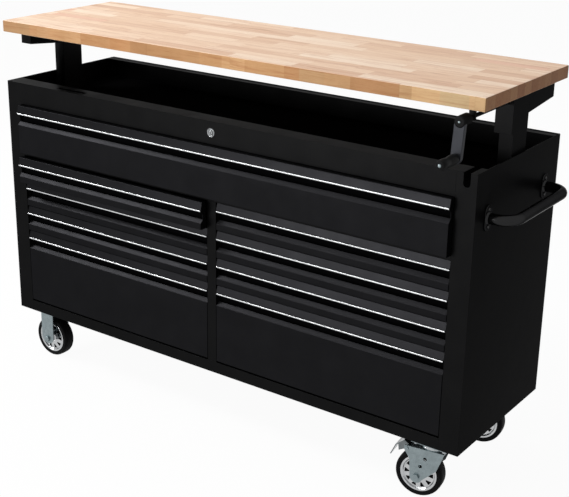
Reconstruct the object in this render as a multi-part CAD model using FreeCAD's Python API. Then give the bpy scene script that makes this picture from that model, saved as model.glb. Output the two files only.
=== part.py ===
import FreeCAD, Part
import math
import os

V = FreeCAD.Vector
X_AXIS = V(1, 0, 0)
Y_AXIS = V(0, 1, 0)
Z_AXIS = V(0, 0, 1)

# Sizes are in millimetres. Until the last step the model stands in the cabinet's own
# frame: the front left bottom corner of the steel body, X right, Y back, Z up.

# Sheet thicknesses and clearances
panel = 1.2
lining = 1.0
base_sheet = 2.0
tube_wall = 2.0
running_gap = 0.05
race_gap = 0.3

# Cabinet plan
cabinet_width = 1549.0
cabinet_depth = 460.0
post_width = 55.0
post_return = 40.0
rail_depth = 25.0
centre_stile_width = 30.0
corner_plate_width = 67.0
corner_plate_depth = 54.0
rim_flange_depth = 52.0
back_flange_depth = 15.0
side_hem_height = 12.0
side_hem_thickness = 1.8

# Rows of fronts, from the floor of the cabinet up
bottom_rail_height = 33.0
bottom_gap = 5.0
tall_front_height = 228.0
small_front_height = 77.0
small_rows = 3
row_gap = 2.5
under_rail_gap = 1.5
mid_rail_height = 11.0
over_rail_gap = 1.0
wide_front_height = 144.0
apron_gap = 2.0
apron_height = 63.0

# Drawer fronts and their pulls
front_side_gap = 1.0
strip_drop = 23.5
strip_height = 3.5
strip_proud = 2.0
strip_inset = 1.0
lip_drop = 2.5
visor_back = 5.0
bevel_back = 12.0
recess_back = 20.0
recess_drop = 28.0
bevel_top_drop = 26.0
bevel_bottom_drop = 34.0
cap_notch_back = 9.0
cap_notch_drop = 8.0

# Drawer boxes and slides
box_floor_gap = 4.0
box_headroom = 13.0
box_back_gap = 27.0
slide_thickness = 12.7
slide_height = 45.0
slide_sheet = 1.2
slide_start = 28.0
slide_end_gap = 4.0
slide_above_floor = 30.0
wide_drawer_open = 20.0
left_drawer_open = 26.0

# Lock
lock_height = 32.0
lock_bezel_radius = 12.5
lock_bezel_thickness = 2.0
lock_barrel_radius = 9.0
lock_barrel_length = 22.0
lock_plug_radius = 6.0
lock_plug_proud = 0.8
key_slot_width = 1.6
key_slot_length = 8.0
key_slot_depth = 4.0
cam_thickness = 2.5
cam_width = 10.0
cam_length = 22.0

# Slot in the rim flange
rim_slot_start = 190.0
rim_slot_length = 110.0
rim_slot_front = 15.0
rim_slot_width = 16.0

# Side handle
handle_radius = 13.5
handle_wall = 2.0
handle_bend = 45.0
handle_standoff = 63.5
handle_front = 66.0
handle_span = 318.0
handle_drop = 121.0
flange_thickness = 3.0
flange_half_width = 17.0
flange_half_height = 33.0
flange_screw_offset = 21.0
flange_screw_radius = 4.5
flange_screw_head = 2.5

# Worktop
worktop_length = 1560.0
worktop_depth = 460.0
worktop_thickness = 33.0
worktop_edge_radius = 2.5
lift_height = 145.0

# Lift columns
column_inset = 27.0
column_width = 36.0
column_depth = 77.0
column_foot_drop = 360.0
guide_gap = 0.5
outer_column_rim_gap = 97.0
spacer_height = 40.0
spacer_width = 60.0
lower_spacer = 100.0
upper_spacer = 560.0
floor_hole_gap = 3.0
nut_post_radius = 14.0
nut_post_bore = 10.0
nut_height = 25.0
nut_drop = 315.0
screw_radius = 8.0
screw_end_drop = 380.0

# Gear heads at the tops of the columns
head_depth = 92.0
head_wall = 3.0
head_floor = 12.0
head_roof = 2.0
wide_head_left = 27.0
wide_head_right = 19.0
wide_head_front = 50.0
gear_radius = 11.0
gear_face = 5.0
gear_teeth = 16
tooth_gap_width = 1.4
tooth_gap_depth = 1.2
mesh_gap = 0.3
crank_drop = 15.0
cross_shaft_drop = 42.0
shaft_radius = 5.0
spindle_radius = 4.0
hex_radius = 5.8
hex_end = 60.0
thrust_collar_radius = 12.0
thrust_collar_height = 4.0

# Support arms and cross beam
arm_width = 38.0
arm_front = 58.0
arm_end_gap = 48.0
arm_end_height = 40.0
arm_root_height = 54.0
arm_strip_width = 36.0
arm_strip_thickness = 4.0
beam_depth = 28.0
beam_height = 34.0
beam_behind_shaft = 10.0
arm_screw_inset = 22.0
wood_screw_radius = 2.5
wood_screw_length = 18.0
wood_screw_head_radius = 5.0
wood_screw_head = 3.0

# Crank
lug_front = 2.0
lug_thickness = 6.0
lug_width = 16.0
lug_below_shaft = 8.0
notch_width = 18.0
notch_depth = 36.0
hub_radius = 14.5
hub_back = 20.0
hub_length = 38.0
lever_width = 27.0
lever_thickness = 13.0
lever_throw = 85.0
lever_lean = 5.0
hub_screw_radius = 4.0
hub_screw_head = 2.5
grip_radius = 13.0
grip_waist = 11.0
grip_length = 70.0
grip_end_gap = 0.5
grip_pin_radius = 4.0
grip_bolt_radius = 6.5
grip_bolt_head = 3.0

# Casters
caster_height = 160.0
wheel_radius = 63.5
tyre_half_width = 19.0
tyre_shoulder = 5.0
rim_radius = 50.0
rim_inner_radius = 42.0
rim_inset = 1.0
web_half_width = 15.0
barrel_radius = 14.0
barrel_half_length = 31.5
axle_radius = 6.0
hub_windows = 10
window_inner_radius = 26.0
window_outer_radius = 39.0
window_inner_half = 3.2
window_outer_half = 7.0
fork_inner = 32.0
fork_sheet = 3.0
nut_radius = 9.5
nut_thickness = 6.0
mount_plate_thickness = 3.0
mount_plate_length = 100.0
mount_plate_width = 74.0
caster_bolt_spacing_x = 80.0
caster_bolt_spacing_y = 56.0
caster_bolt_radius = 6.0
caster_bolt_head = 5.0
rigid_fork_width = 49.0
rigid_fork_drop = 17.0
rigid_caster_x = 90.0
caster_front_y = 56.0
rigid_caster_span = 348.0
swivel_trail = 35.0
swivel_yaw = 8.0
swivel_from_right = 82.0
swivel_front_y = 39.0
swivel_span_less = 2.0
swivel_span = rigid_caster_span - swivel_span_less
race_radius = 36.0
race_height = 8.0
lower_race_radius = 33.0
lower_race_height = 2.7
kingpin_radius = 8.0
kingpin_nut_radius = 12.0
kingpin_nut_height = 6.0
crown_thickness = 3.0
crown_front = 36.0
crown_back = 53.0
ear_back = 70.5
fork_boss_radius = 17.0
fork_boss_front = 16.0
fork_boss_rise = -6.0
fork_boss_rim = -1.0
fork_waist_back = -20.0
fork_waist_height = 47.7
fork_ear_depth = 8.0
fork_cheek_inset = 5.0
fork_cheek_depth = 14.0
fork_knee_front = 53.0
fork_knee_height = 30.2
fork_holes = [(22.0, 56.0), (10.0, 32.5)]
fork_hole_radius = 5.0
pedal_pivot_back = 63.0
pedal_pivot_drop = 5.5
pedal_pin_radius = 3.0
pedal_pin_head = 2.0
pedal_pin_head_radius = 5.0
pedal_boss_radius = 6.0
pedal_boss_half_length = 24.0
pedal_half_width = 19.0
pedal_sheet = 2.5
pedal_shoe_half_width = 14.0

# Outlines of the brake pedal from its pin, along the caster and up
pedal_tread = [(-51.0, -36.0), (-37.0, -5.0), (-14.0, 13.0), (-1.0, 4.0)]
pedal_cheek = [(-1.0, 5.0), (-14.0, 11.0), (-30.0, -1.0), (-28.0, -20.0), (-17.0, -14.0), (1.0, -5.0)]
pedal_shoe = [(-5.0, -1.0), (-9.0, -12.0), (-3.0, -15.0), (4.0, -3.0)]

# Heights that follow from the rows
tall_front_bottom = bottom_rail_height + bottom_gap
small_stack_bottom = tall_front_bottom + tall_front_height + row_gap
small_pitch = small_front_height + row_gap
mid_rail_bottom = small_stack_bottom + small_rows * small_pitch - row_gap + under_rail_gap
wide_front_bottom = mid_rail_bottom + mid_rail_height + over_rail_gap
apron_bottom = wide_front_bottom + wide_front_height + apron_gap
cabinet_height = apron_bottom + apron_height
floor_level = -caster_height

# Places across the cabinet
opening_left = post_width
opening_right = cabinet_width - post_width
liner_left = opening_left + lining
liner_right = opening_right - lining
stile_left = (cabinet_width - centre_stile_width) / 2
stile_right = stile_left + centre_stile_width
back_inside = cabinet_depth - panel
drawer_back = back_inside - box_back_gap
slide_length = drawer_back - slide_start - slide_end_gap
box_front = recess_back + panel

# Places of the lift
column_y = cabinet_depth / 2
column_left = column_inset
column_right = cabinet_width - column_inset
worktop_bottom = cabinet_height + lift_height
worktop_top = worktop_bottom + worktop_thickness
head_bottom = worktop_bottom - head_depth
crank_z = worktop_bottom - crank_drop
cross_shaft_z = worktop_bottom - cross_shaft_drop
lever_end_x = column_right - lever_lean
lever_end_z = crank_z - lever_throw
lever_front = -hub_back - hub_length
grip_back = lever_front - grip_end_gap
grip_tip = grip_back - grip_length
crank_tip = grip_tip - grip_end_gap - grip_bolt_head

# Places of the casters
axle_z = floor_level + wheel_radius
mount_top = -axle_z
swivel_x = cabinet_width - swivel_from_right
yaw = math.radians(swivel_yaw)
mount_bottom = mount_top - mount_plate_thickness
race_bottom = mount_bottom - race_height
crown_top = race_bottom - race_gap - lower_race_height
crown_bottom = crown_top - crown_thickness
fork_outer = fork_inner + fork_sheet

# Outer reach, which sets the origin: the middle of the bounding box, on the floor
handle_reach = cabinet_width + handle_standoff + handle_radius
worktop_left = (cabinet_width - worktop_length) / 2
worktop_back = (cabinet_depth + worktop_depth) / 2
origin_x = (worktop_left + handle_reach) / 2
origin_y = (crank_tip + max(worktop_back, cabinet_depth)) / 2
origin_z = floor_level


def box(x0, x1, y0, y1, z0, z1):
    """Solid block between two corners."""
    return Part.makeBox(x1 - x0, y1 - y0, z1 - z0, V(x0, y0, z0))


def rod(start, direction, radius, length):
    """Round bar from a start point."""
    return Part.makeCylinder(radius, length, start, direction)


def hex_bar(start, direction, radius, length):
    """Six-sided bar; the radius reaches its corners."""
    angles = [corner * math.pi / 3 for corner in range(7)]
    corners = [V(radius * math.cos(angle), radius * math.sin(angle), 0) for angle in angles]
    bar = Part.Face(Part.makePolygon(corners)).extrude(V(0, 0, length))
    bar.Placement = FreeCAD.Placement(start, FreeCAD.Rotation(Z_AXIS, direction))
    return bar


def prism_x(outline, x0, x1):
    """Outline in Y and Z, drawn out along X."""
    points = [V(x0, y, z) for y, z in outline]
    return Part.Face(Part.makePolygon(points + points[:1])).extrude(V(x1 - x0, 0, 0))


def prism_y(outline, y0, y1):
    """Outline in X and Z, drawn out along Y."""
    points = [V(x, y0, z) for x, z in outline]
    return Part.Face(Part.makePolygon(points + points[:1])).extrude(V(0, y1 - y0, 0))


def prism_z(outline, z0, z1):
    """Outline in X and Y, drawn out along Z."""
    points = [V(x, y, z0) for x, y in outline]
    return Part.Face(Part.makePolygon(points + points[:1])).extrude(V(0, 0, z1 - z0))


def folded(path, thickness):
    """Outline of a sheet folded along a path, with the sheet on the path's left."""
    normals = []
    for first, second in zip(path, path[1:]):
        run = math.dist(first, second)
        normals.append(((first[1] - second[1]) / run, (second[0] - first[0]) / run))
    inner = []
    for index, point in enumerate(path):
        before = normals[max(index - 1, 0)]
        after = normals[min(index, len(normals) - 1)]
        mitre = thickness / (1 + before[0] * after[0] + before[1] * after[1])
        shift = ((before[0] + after[0]) * mitre, (before[1] + after[1]) * mitre)
        inner.append((point[0] + shift[0], point[1] + shift[1]))
    return path + inner[::-1]


def fused(shapes):
    """One clean solid from pieces that touch."""
    return shapes[0].multiFuse(shapes[1:]).removeSplitter()


def mirrored(shape):
    """The same shape on the other side of the cabinet's middle."""
    return shape.mirror(V(cabinet_width / 2, 0, 0), X_AXIS)


def turned(outline):
    """Outline in radius and height along Y, turned about the Y axis."""
    points = [V(radius, along, 0) for radius, along in outline]
    return Part.Face(Part.makePolygon(points + points[:1])).revolve(V(0, 0, 0), Y_AXIS, 360)


def placed(shape, x, y, z, angle=0.0):
    """Copy of a shape made at the origin, turned about Z and moved."""
    copy = shape.copy()
    place = FreeCAD.Placement(V(x, y, z), FreeCAD.Rotation(Z_AXIS, angle))
    copy.Placement = place.multiply(copy.Placement)
    return copy


def side_panel():
    """Left side: outer wall, front post, its top plate and the hemmed top edge."""
    fold = [(0, cabinet_depth), (0, 0), (post_width, 0), (post_width, post_return)]
    wall = prism_z(folded(fold, panel), 0, cabinet_height)
    plate = box(panel, post_width, panel, rim_flange_depth, cabinet_height - panel, cabinet_height)
    hem = box(
        panel, panel + side_hem_thickness, rim_flange_depth, cabinet_depth - back_flange_depth,
        cabinet_height - side_hem_height, cabinet_height,
    )
    base_room = box(panel, post_width, panel, post_return, 0, base_sheet)
    return fused([wall, plate, hem]).cut(base_room)


def crank_notch():
    """Round-bottomed slot that lets the crank shaft sink into the right post."""
    radius = notch_width / 2
    bottom = cabinet_height - notch_depth
    left = column_right - radius
    right = column_right + radius
    slot = box(left, right, 0, corner_plate_depth, bottom + radius, cabinet_height)
    end = rod(V(column_right, 0, bottom + radius), Y_AXIS, radius, corner_plate_depth)
    return fused([slot, end])


def cabinet_shell():
    """Both sides and the back, each a sheet of its own."""
    left = side_panel()
    inner_edge = cabinet_width - corner_plate_width
    wall_face = cabinet_width - panel
    corner = box(
        inner_edge, wall_face, panel, corner_plate_depth, cabinet_height - panel, cabinet_height,
    )
    right = fused([mirrored(side_panel()), corner]).cut(crank_notch())
    flange_edge = cabinet_depth - back_flange_depth
    fold = [(cabinet_depth, 0), (cabinet_depth, cabinet_height), (flange_edge, cabinet_height)]
    back = prism_x(folded(fold, panel), panel, wall_face)
    return [left, right, back]


def base_pan():
    """Bottom sheet with the front rail folded up from it."""
    fold = [(rail_depth, bottom_rail_height), (0, bottom_rail_height), (0, 0), (back_inside, 0)]
    pan = prism_x(folded(fold, base_sheet), opening_left, opening_right)
    wings = [
        box(panel, opening_left, panel, back_inside, 0, base_sheet),
        box(opening_right, cabinet_width - panel, panel, back_inside, 0, base_sheet),
    ]
    return [fused([pan] + wings)]


def front_frame():
    """Rail over the small drawers and the stile between them."""
    top = mid_rail_bottom + mid_rail_height
    rail_fold = [(rail_depth, top), (0, top), (0, mid_rail_bottom), (rail_depth, mid_rail_bottom)]
    rail = prism_x(folded(rail_fold, panel), opening_left, opening_right)
    stile_fold = [(stile_left, rail_depth), (stile_left, 0), (stile_right, 0), (stile_right, rail_depth)]
    stile = prism_z(folded(stile_fold, panel), bottom_rail_height, mid_rail_bottom)
    return [rail, stile]


def inner_panels():
    """Liners beside the outer bays and the hollow divider between the small drawers."""
    left = box(opening_left, liner_left, rail_depth, back_inside, base_sheet, apron_bottom)
    right = box(liner_right, opening_right, rail_depth, back_inside, base_sheet, apron_bottom)
    outside = box(stile_left, stile_right, rail_depth, back_inside, base_sheet, mid_rail_bottom)
    inside = box(
        stile_left + lining, stile_right - lining, rail_depth + lining, back_inside - lining,
        base_sheet, mid_rail_bottom,
    )
    return [left, right, outside.cut(inside)]


def top_apron():
    """Fixed front over the wide drawer, folded back into the rim flange."""
    flange_right = cabinet_width - corner_plate_width
    face = box(opening_left, opening_right, 0, panel, apron_bottom, cabinet_height - panel)
    flange = box(opening_left, flange_right, 0, rim_flange_depth, cabinet_height - panel, cabinet_height)
    corner = box(flange_right, opening_right, 0, panel, cabinet_height - panel, cabinet_height)
    slot = box(
        rim_slot_start, rim_slot_start + rim_slot_length, rim_slot_front, rim_slot_front + rim_slot_width,
        cabinet_height - panel, cabinet_height,
    )
    lock_hole = rod(V(cabinet_width / 2, 0, lock_z()), Y_AXIS, lock_barrel_radius, panel)
    return [fused([face, flange, corner]).cut(slot).cut(lock_hole)]


def lock_z():
    """Height of the lock, measured up from the bottom of the apron."""
    return apron_bottom + lock_height


def column_hole(left, right, front, back):
    """Cut-out in the compartment floor round a column, with room all round."""
    return box(
        left - floor_hole_gap, right + floor_hole_gap, front - floor_hole_gap, back + floor_hole_gap,
        apron_bottom, apron_bottom + panel,
    )


def compartment_floor():
    """Floor of the open top compartment, cut out round both columns."""
    top = apron_bottom + panel
    middle = box(opening_left, opening_right, panel, back_inside, apron_bottom, top)
    left = box(panel, opening_left, post_return, back_inside, apron_bottom, top)
    right = box(opening_right, cabinet_width - panel, post_return, back_inside, apron_bottom, top)
    half_width = column_width / 2
    half_depth = column_depth / 2
    left_hole = column_hole(
        column_left - half_width, column_left + half_width, column_y - half_depth, column_y + half_depth,
    )
    right_hole = column_hole(
        column_right - wide_head_left, column_right + wide_head_right,
        column_y - wide_head_front, column_y + half_depth,
    )
    return [fused([middle, left, right]).cut(left_hole).cut(right_hole)]


def drawer_bays():
    """Every drawer: name, bay between its slides, front edges, bottom, height and rest opening."""
    bays = {
        "left": (liner_left, stile_left, opening_left, stile_left),
        "right": (stile_right, liner_right, stile_right, opening_right),
    }
    drawers = [(
        "top", liner_left, liner_right, opening_left, opening_right,
        wide_front_bottom, wide_front_height, wide_drawer_open,
    )]
    for side, (bay_left, bay_right, edge_left, edge_right) in bays.items():
        for row in range(small_rows):
            bottom = small_stack_bottom + (small_rows - 1 - row) * small_pitch
            opened = left_drawer_open if side == "left" and row == 0 else 0.0
            drawers.append((
                f"{side}_{row + 1}", bay_left, bay_right, edge_left, edge_right,
                bottom, small_front_height, opened,
            ))
        drawers.append((
            f"{side}_{small_rows + 1}", bay_left, bay_right, edge_left, edge_right,
            tall_front_bottom, tall_front_height, 0.0,
        ))
    return drawers


def cabinet_slide_member(wall, inward, z):
    """Outer channel of a drawer slide on a wall; inward is 1 to the right, -1 to the left."""
    half = slide_height / 2
    reach = slide_thickness - 2 * slide_sheet - race_gap
    fold = [(reach, half), (0, half), (0, -half), (reach, -half)]
    outline = slide_outline(fold, slide_sheet, wall, inward, z)
    return prism_y(outline, slide_start, slide_start + slide_length)


def slide_outline(fold, thickness, wall, inward, z):
    """Folded slide section set off from a wall at a height."""
    return [(wall + inward * u, z + v) for u, v in folded(fold, thickness)]


def middle_slide_member(wall, inward, z):
    """Middle member: a web between two flanges that run in the outer channel."""
    half = slide_height / 2 - slide_sheet - race_gap
    web = slide_thickness / 2 - slide_sheet
    back = slide_sheet + race_gap
    front = slide_thickness - slide_sheet - 2 * race_gap
    flange_front = wall + inward * front
    flange_back = wall + inward * back
    left = min(flange_front, flange_back)
    right = max(flange_front, flange_back)
    web_left = min(wall + inward * web, wall + inward * (web + slide_sheet))
    end = slide_start + slide_length
    return fused([
        box(left, right, slide_start, end, z + half - slide_sheet, z + half),
        box(left, right, slide_start, end, z - half, z - half + slide_sheet),
        box(web_left, web_left + slide_sheet, slide_start, end, z - half, z + half),
    ])


def drawer_slide_member(wall, inward, z):
    """Inner channel of a drawer slide, fixed to the drawer's side."""
    half = slide_height / 2 - 2 * slide_sheet - 2 * race_gap
    back = slide_thickness / 2 + race_gap
    fold = [(back, -half), (slide_thickness, -half), (slide_thickness, half), (back, half)]
    outline = slide_outline(fold, slide_sheet, wall, inward, z)
    return prism_y(outline, slide_start, slide_start + slide_length)


def slide_z(bottom):
    """Height of the slides of a drawer whose front starts at bottom."""
    return bottom + box_floor_gap + slide_above_floor


def cabinet_slide_rails():
    """The fixed member of every slide."""
    rails = []
    for _, bay_left, bay_right, _, _, bottom, _, _ in drawer_bays():
        rails.append(cabinet_slide_member(bay_left, 1, slide_z(bottom)))
        rails.append(cabinet_slide_member(bay_right, -1, slide_z(bottom)))
    return rails


def drawer_front(left, right, bottom, height):
    """Folded front with its sloped pull, finger recess and bevel, closed at both ends."""
    top = bottom + height
    strip = top - strip_drop
    recess_floor = strip - recess_drop
    bevel_top = strip - bevel_top_drop
    bevel_bottom = strip - bevel_bottom_drop
    lip_bottom = strip - lip_drop
    pull = [(recess_back, top), (visor_back, top), (0, strip + lip_drop), (0, lip_bottom)]
    face = [
        (recess_back, top), (recess_back, recess_floor), (bevel_back, bevel_top), (0, bevel_bottom),
        (0, bottom), (recess_back, bottom),
    ]
    end = [
        (box_front, top), (visor_back, top), (0, strip + lip_drop), (0, lip_bottom),
        (cap_notch_back, lip_bottom - cap_notch_drop), (bevel_back, bevel_top), (0, bevel_bottom),
        (0, bottom), (box_front, bottom),
    ]
    return fused([
        prism_x(folded(pull, panel), left, right),
        prism_x(folded(face, panel), left, right),
        prism_x(end, left, left + panel),
        prism_x(end, right - panel, right),
    ])


def drawer_box(left, right, bottom, height):
    """Open steel tray behind a front."""
    floor = bottom + box_floor_gap
    top = bottom + height - box_headroom
    outside = box(left, right, box_front, drawer_back, floor, top)
    inside = box(
        left + lining, right - lining, box_front + lining, drawer_back - lining, floor + lining, top,
    )
    return outside.cut(inside)


def pull_trim(left, right, bottom, height):
    """Bright strip along the lip of a pull, with a softened front edge."""
    strip = bottom + height - strip_drop
    half = strip_height / 2
    bar = box(left + strip_inset, right - strip_inset, -strip_proud, 0, strip - half, strip + half)
    front_edges = [edge for edge in bar.Edges if edge.BoundBox.YMax < -strip_proud / 2]
    long_edges = [edge for edge in front_edges if edge.BoundBox.XLength > strip_height]
    return bar.makeFillet(half / 2, long_edges)


def drawers():
    """All nine drawers with their trims and the moving slide members."""
    nodes = {}
    for name, bay_left, bay_right, edge_left, edge_right, bottom, height, opened in drawer_bays():
        left = edge_left + front_side_gap
        right = edge_right - front_side_gap
        z = slide_z(bottom)
        drawer = [
            drawer_front(left, right, bottom, height),
            drawer_box(bay_left + slide_thickness, bay_right - slide_thickness, bottom, height),
            drawer_slide_member(bay_left, 1, z),
            drawer_slide_member(bay_right, -1, z),
        ]
        middle = [middle_slide_member(bay_left, 1, z), middle_slide_member(bay_right, -1, z)]
        pulled = V(0, -opened, 0)
        half_pulled = V(0, -opened / 2, 0)
        nodes[f"drawer_{name}"] = [piece.translated(pulled) for piece in drawer]
        nodes[f"pull_trim_{name}"] = [pull_trim(left, right, bottom, height).translated(pulled)]
        nodes[f"slide_middle_{name}"] = [piece.translated(half_pulled) for piece in middle]
    return nodes


def lock_housing():
    """Bezel in front of the apron and the barrel behind it."""
    centre = V(cabinet_width / 2, -lock_bezel_thickness, lock_z())
    bezel = rod(centre, Y_AXIS, lock_bezel_radius, lock_bezel_thickness)
    barrel = rod(V(centre.x, 0, centre.z), Y_AXIS, lock_barrel_radius, lock_barrel_length)
    bore = rod(centre, Y_AXIS, lock_plug_radius + running_gap, lock_bezel_thickness + lock_barrel_length)
    return [fused([bezel, barrel]).cut(bore)]


def lock_plug():
    """Turning plug with a key slot, and the cam behind it."""
    x = cabinet_width / 2
    z = lock_z()
    front = -lock_bezel_thickness - lock_plug_proud
    cam_front = lock_barrel_length + race_gap
    plug = rod(V(x, front, z), Y_AXIS, lock_plug_radius, cam_front - front)
    slot = box(
        x - key_slot_width / 2, x + key_slot_width / 2, front, front + key_slot_depth,
        z - key_slot_length / 2, z + key_slot_length / 2,
    )
    half = cam_width / 2
    cam = box(x - half, x + cam_length, cam_front, cam_front + cam_thickness, z - half, z + half)
    return [fused([plug.cut(slot), cam])]


def side_handle():
    """Bent tube on two flanges, on the right side."""
    z = cabinet_height - handle_drop
    foot = cabinet_width + flange_thickness
    straight = cabinet_width + handle_standoff - handle_bend
    outer = straight + handle_bend
    back = handle_front + handle_span
    grip_start = handle_front + handle_bend
    grip_end = back - handle_bend
    corner = handle_bend * (1 - math.sqrt(0.5))

    def path():
        return Part.Wire([
            Part.LineSegment(V(foot, handle_front, z), V(straight, handle_front, z)).toShape(),
            Part.Arc(
                V(straight, handle_front, z), V(outer - corner, handle_front + corner, z),
                V(outer, grip_start, z),
            ).toShape(),
            Part.LineSegment(V(outer, grip_start, z), V(outer, grip_end, z)).toShape(),
            Part.Arc(
                V(outer, grip_end, z), V(outer - corner, back - corner, z), V(straight, back, z),
            ).toShape(),
            Part.LineSegment(V(straight, back, z), V(foot, back, z)).toShape(),
        ])

    def sweep(radius):
        ring = Part.Wire([Part.makeCircle(radius, V(foot, handle_front, z), X_AXIS)])
        return path().makePipeShell([ring], True, False)

    tube = sweep(handle_radius).cut(sweep(handle_radius - handle_wall))
    half = flange_half_height - flange_half_width
    flanges = []
    for y in (handle_front, back):
        flanges.append(fused([
            box(cabinet_width, foot, y - flange_half_width, y + flange_half_width, z - half, z + half),
            rod(V(cabinet_width, y, z + half), X_AXIS, flange_half_width, flange_thickness),
            rod(V(cabinet_width, y, z - half), X_AXIS, flange_half_width, flange_thickness),
        ]))
    return [tube] + flanges


def worktop():
    """Butcher-block top with softened edges."""
    front = (cabinet_depth - worktop_depth) / 2
    right = worktop_left + worktop_length
    block = box(worktop_left, right, front, front + worktop_depth, worktop_bottom, worktop_top)
    pilots = [
        rod(V(x, y, worktop_bottom), Z_AXIS, wood_screw_radius, wood_screw_length)
        for x, y, _ in wood_screw_places()
    ]
    return [block.makeFillet(worktop_edge_radius, block.Edges).cut(pilots)]


def arm_runs():
    """Each support arm: its middle in X, its root and its end in Y."""
    head_front = column_y - column_depth / 2
    head_back = column_y + column_depth / 2
    arm_back = cabinet_depth - arm_end_gap
    return [
        (column_left, head_front, arm_front), (column_left, head_back, arm_back),
        (column_right, head_back, arm_back),
    ]


def wood_screw_places():
    """Screws into the worktop: X, Y and the underside of the sheet that each one holds."""
    places = []
    for x, root_y, end_y in arm_runs():
        outward = 1 if end_y > root_y else -1
        for y in (root_y + outward * arm_screw_inset, end_y - outward * arm_screw_inset):
            places.append((x, y, worktop_bottom - tube_wall))
    for y in (arm_front + arm_screw_inset, column_y - wide_head_front - arm_screw_inset):
        places.append((column_right, y, worktop_bottom - arm_strip_thickness))
    return places


def wood_screw(x, y, level):
    """Screw up into the worktop with its head under a sheet."""
    head = rod(V(x, y, level - wood_screw_head), Z_AXIS, wood_screw_head_radius, wood_screw_head)
    shank = rod(V(x, y, level), Z_AXIS, wood_screw_radius, worktop_bottom + wood_screw_length - level)
    return fused([head, shank])


def hollow_arm(x, root_y, end_y):
    """Tapered channel under the worktop, open below, from a gear head out to its end."""
    left = x - arm_width / 2
    right = x + arm_width / 2
    outward = 1 if end_y > root_y else -1
    outside = [
        (root_y, worktop_bottom), (end_y, worktop_bottom), (end_y, worktop_bottom - arm_end_height),
        (root_y, worktop_bottom - arm_root_height),
    ]
    wall_y = end_y - outward * tube_wall
    room = box(
        left + tube_wall, right - tube_wall, min(root_y, wall_y), max(root_y, wall_y),
        worktop_bottom - arm_root_height, worktop_bottom - tube_wall,
    )
    return prism_x(outside, left, right).cut(room)


def lift_frame():
    """Arms, front strip, crank lug and cross beam under the worktop."""
    beam_front = column_y + beam_behind_shaft
    beam_left = column_left + column_width / 2
    beam_right = column_right - wide_head_left
    beam_back = beam_front + beam_depth
    beam_bottom = worktop_bottom - beam_height
    beam = box(beam_left, beam_right, beam_front, beam_back, beam_bottom, worktop_bottom)
    beam_core = box(
        beam_left, beam_right, beam_front + tube_wall, beam_back - tube_wall,
        beam_bottom + tube_wall, worktop_bottom - tube_wall,
    )
    half_strip = arm_strip_width / 2
    strip = box(
        column_right - half_strip, column_right + half_strip, arm_front, column_y - wide_head_front,
        worktop_bottom - arm_strip_thickness, worktop_bottom,
    )
    lug = box(
        column_right - lug_width / 2, column_right + lug_width / 2, lug_front, lug_front + lug_thickness,
        crank_z - lug_below_shaft, worktop_bottom,
    )
    lug_bore = rod(V(column_right, lug_front, crank_z), Y_AXIS, shaft_radius + running_gap, lug_thickness)
    screw_holes = [
        rod(V(x, y, level), Z_AXIS, wood_screw_radius, worktop_bottom - level)
        for x, y, level in wood_screw_places()
    ]
    arms = [hollow_arm(x, root_y, end_y).cut(screw_holes) for x, root_y, end_y in arm_runs()]
    fasteners = [wood_screw(x, y, level) for x, y, level in wood_screw_places()]
    return arms + [strip.cut(screw_holes), lug.cut(lug_bore), beam.cut(beam_core)] + fasteners


def gear_head(x, left, right, front, back):
    """Housing of the bevel gears, with bores for the screw and the cross shaft."""
    outside = box(left, right, front, back, head_bottom, worktop_bottom)
    inside = box(
        left + head_wall, right - head_wall, front + head_wall, back - head_wall,
        head_bottom + head_floor, worktop_bottom - head_roof,
    )
    screw_bore = rod(V(x, column_y, head_bottom), Z_AXIS, screw_radius + running_gap, head_floor)
    return outside.cut(inside).cut(screw_bore)


def inner_columns():
    """Moving tubes of the lift with their gear heads."""
    half_width = column_width / 2
    front = column_y - column_depth / 2
    back = column_y + column_depth / 2
    foot = head_bottom - column_foot_drop
    bore = shaft_radius + running_gap
    tubes = []
    for x in (column_left, column_right):
        outside = box(x - half_width, x + half_width, front, back, foot, head_bottom)
        inside = box(
            x - half_width + tube_wall, x + half_width - tube_wall, front + tube_wall, back - tube_wall,
            foot, head_bottom,
        )
        tubes.append(outside.cut(inside))
    left_edge = column_left + half_width
    left_head = gear_head(column_left, column_left - half_width, left_edge, front, back)
    left_bore = rod(V(left_edge - head_wall, column_y, cross_shaft_z), X_AXIS, bore, head_wall)
    right_edge = column_right - wide_head_left
    wide_front = column_y - wide_head_front
    right_head = gear_head(column_right, right_edge, column_right + wide_head_right, wide_front, back)
    right_bore = rod(V(right_edge, column_y, cross_shaft_z), X_AXIS, bore, head_wall)
    crank_bore = rod(V(column_right, wide_front, crank_z), Y_AXIS, bore, head_wall)
    return tubes + [left_head.cut(left_bore), right_head.cut(right_bore).cut(crank_bore)]


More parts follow.
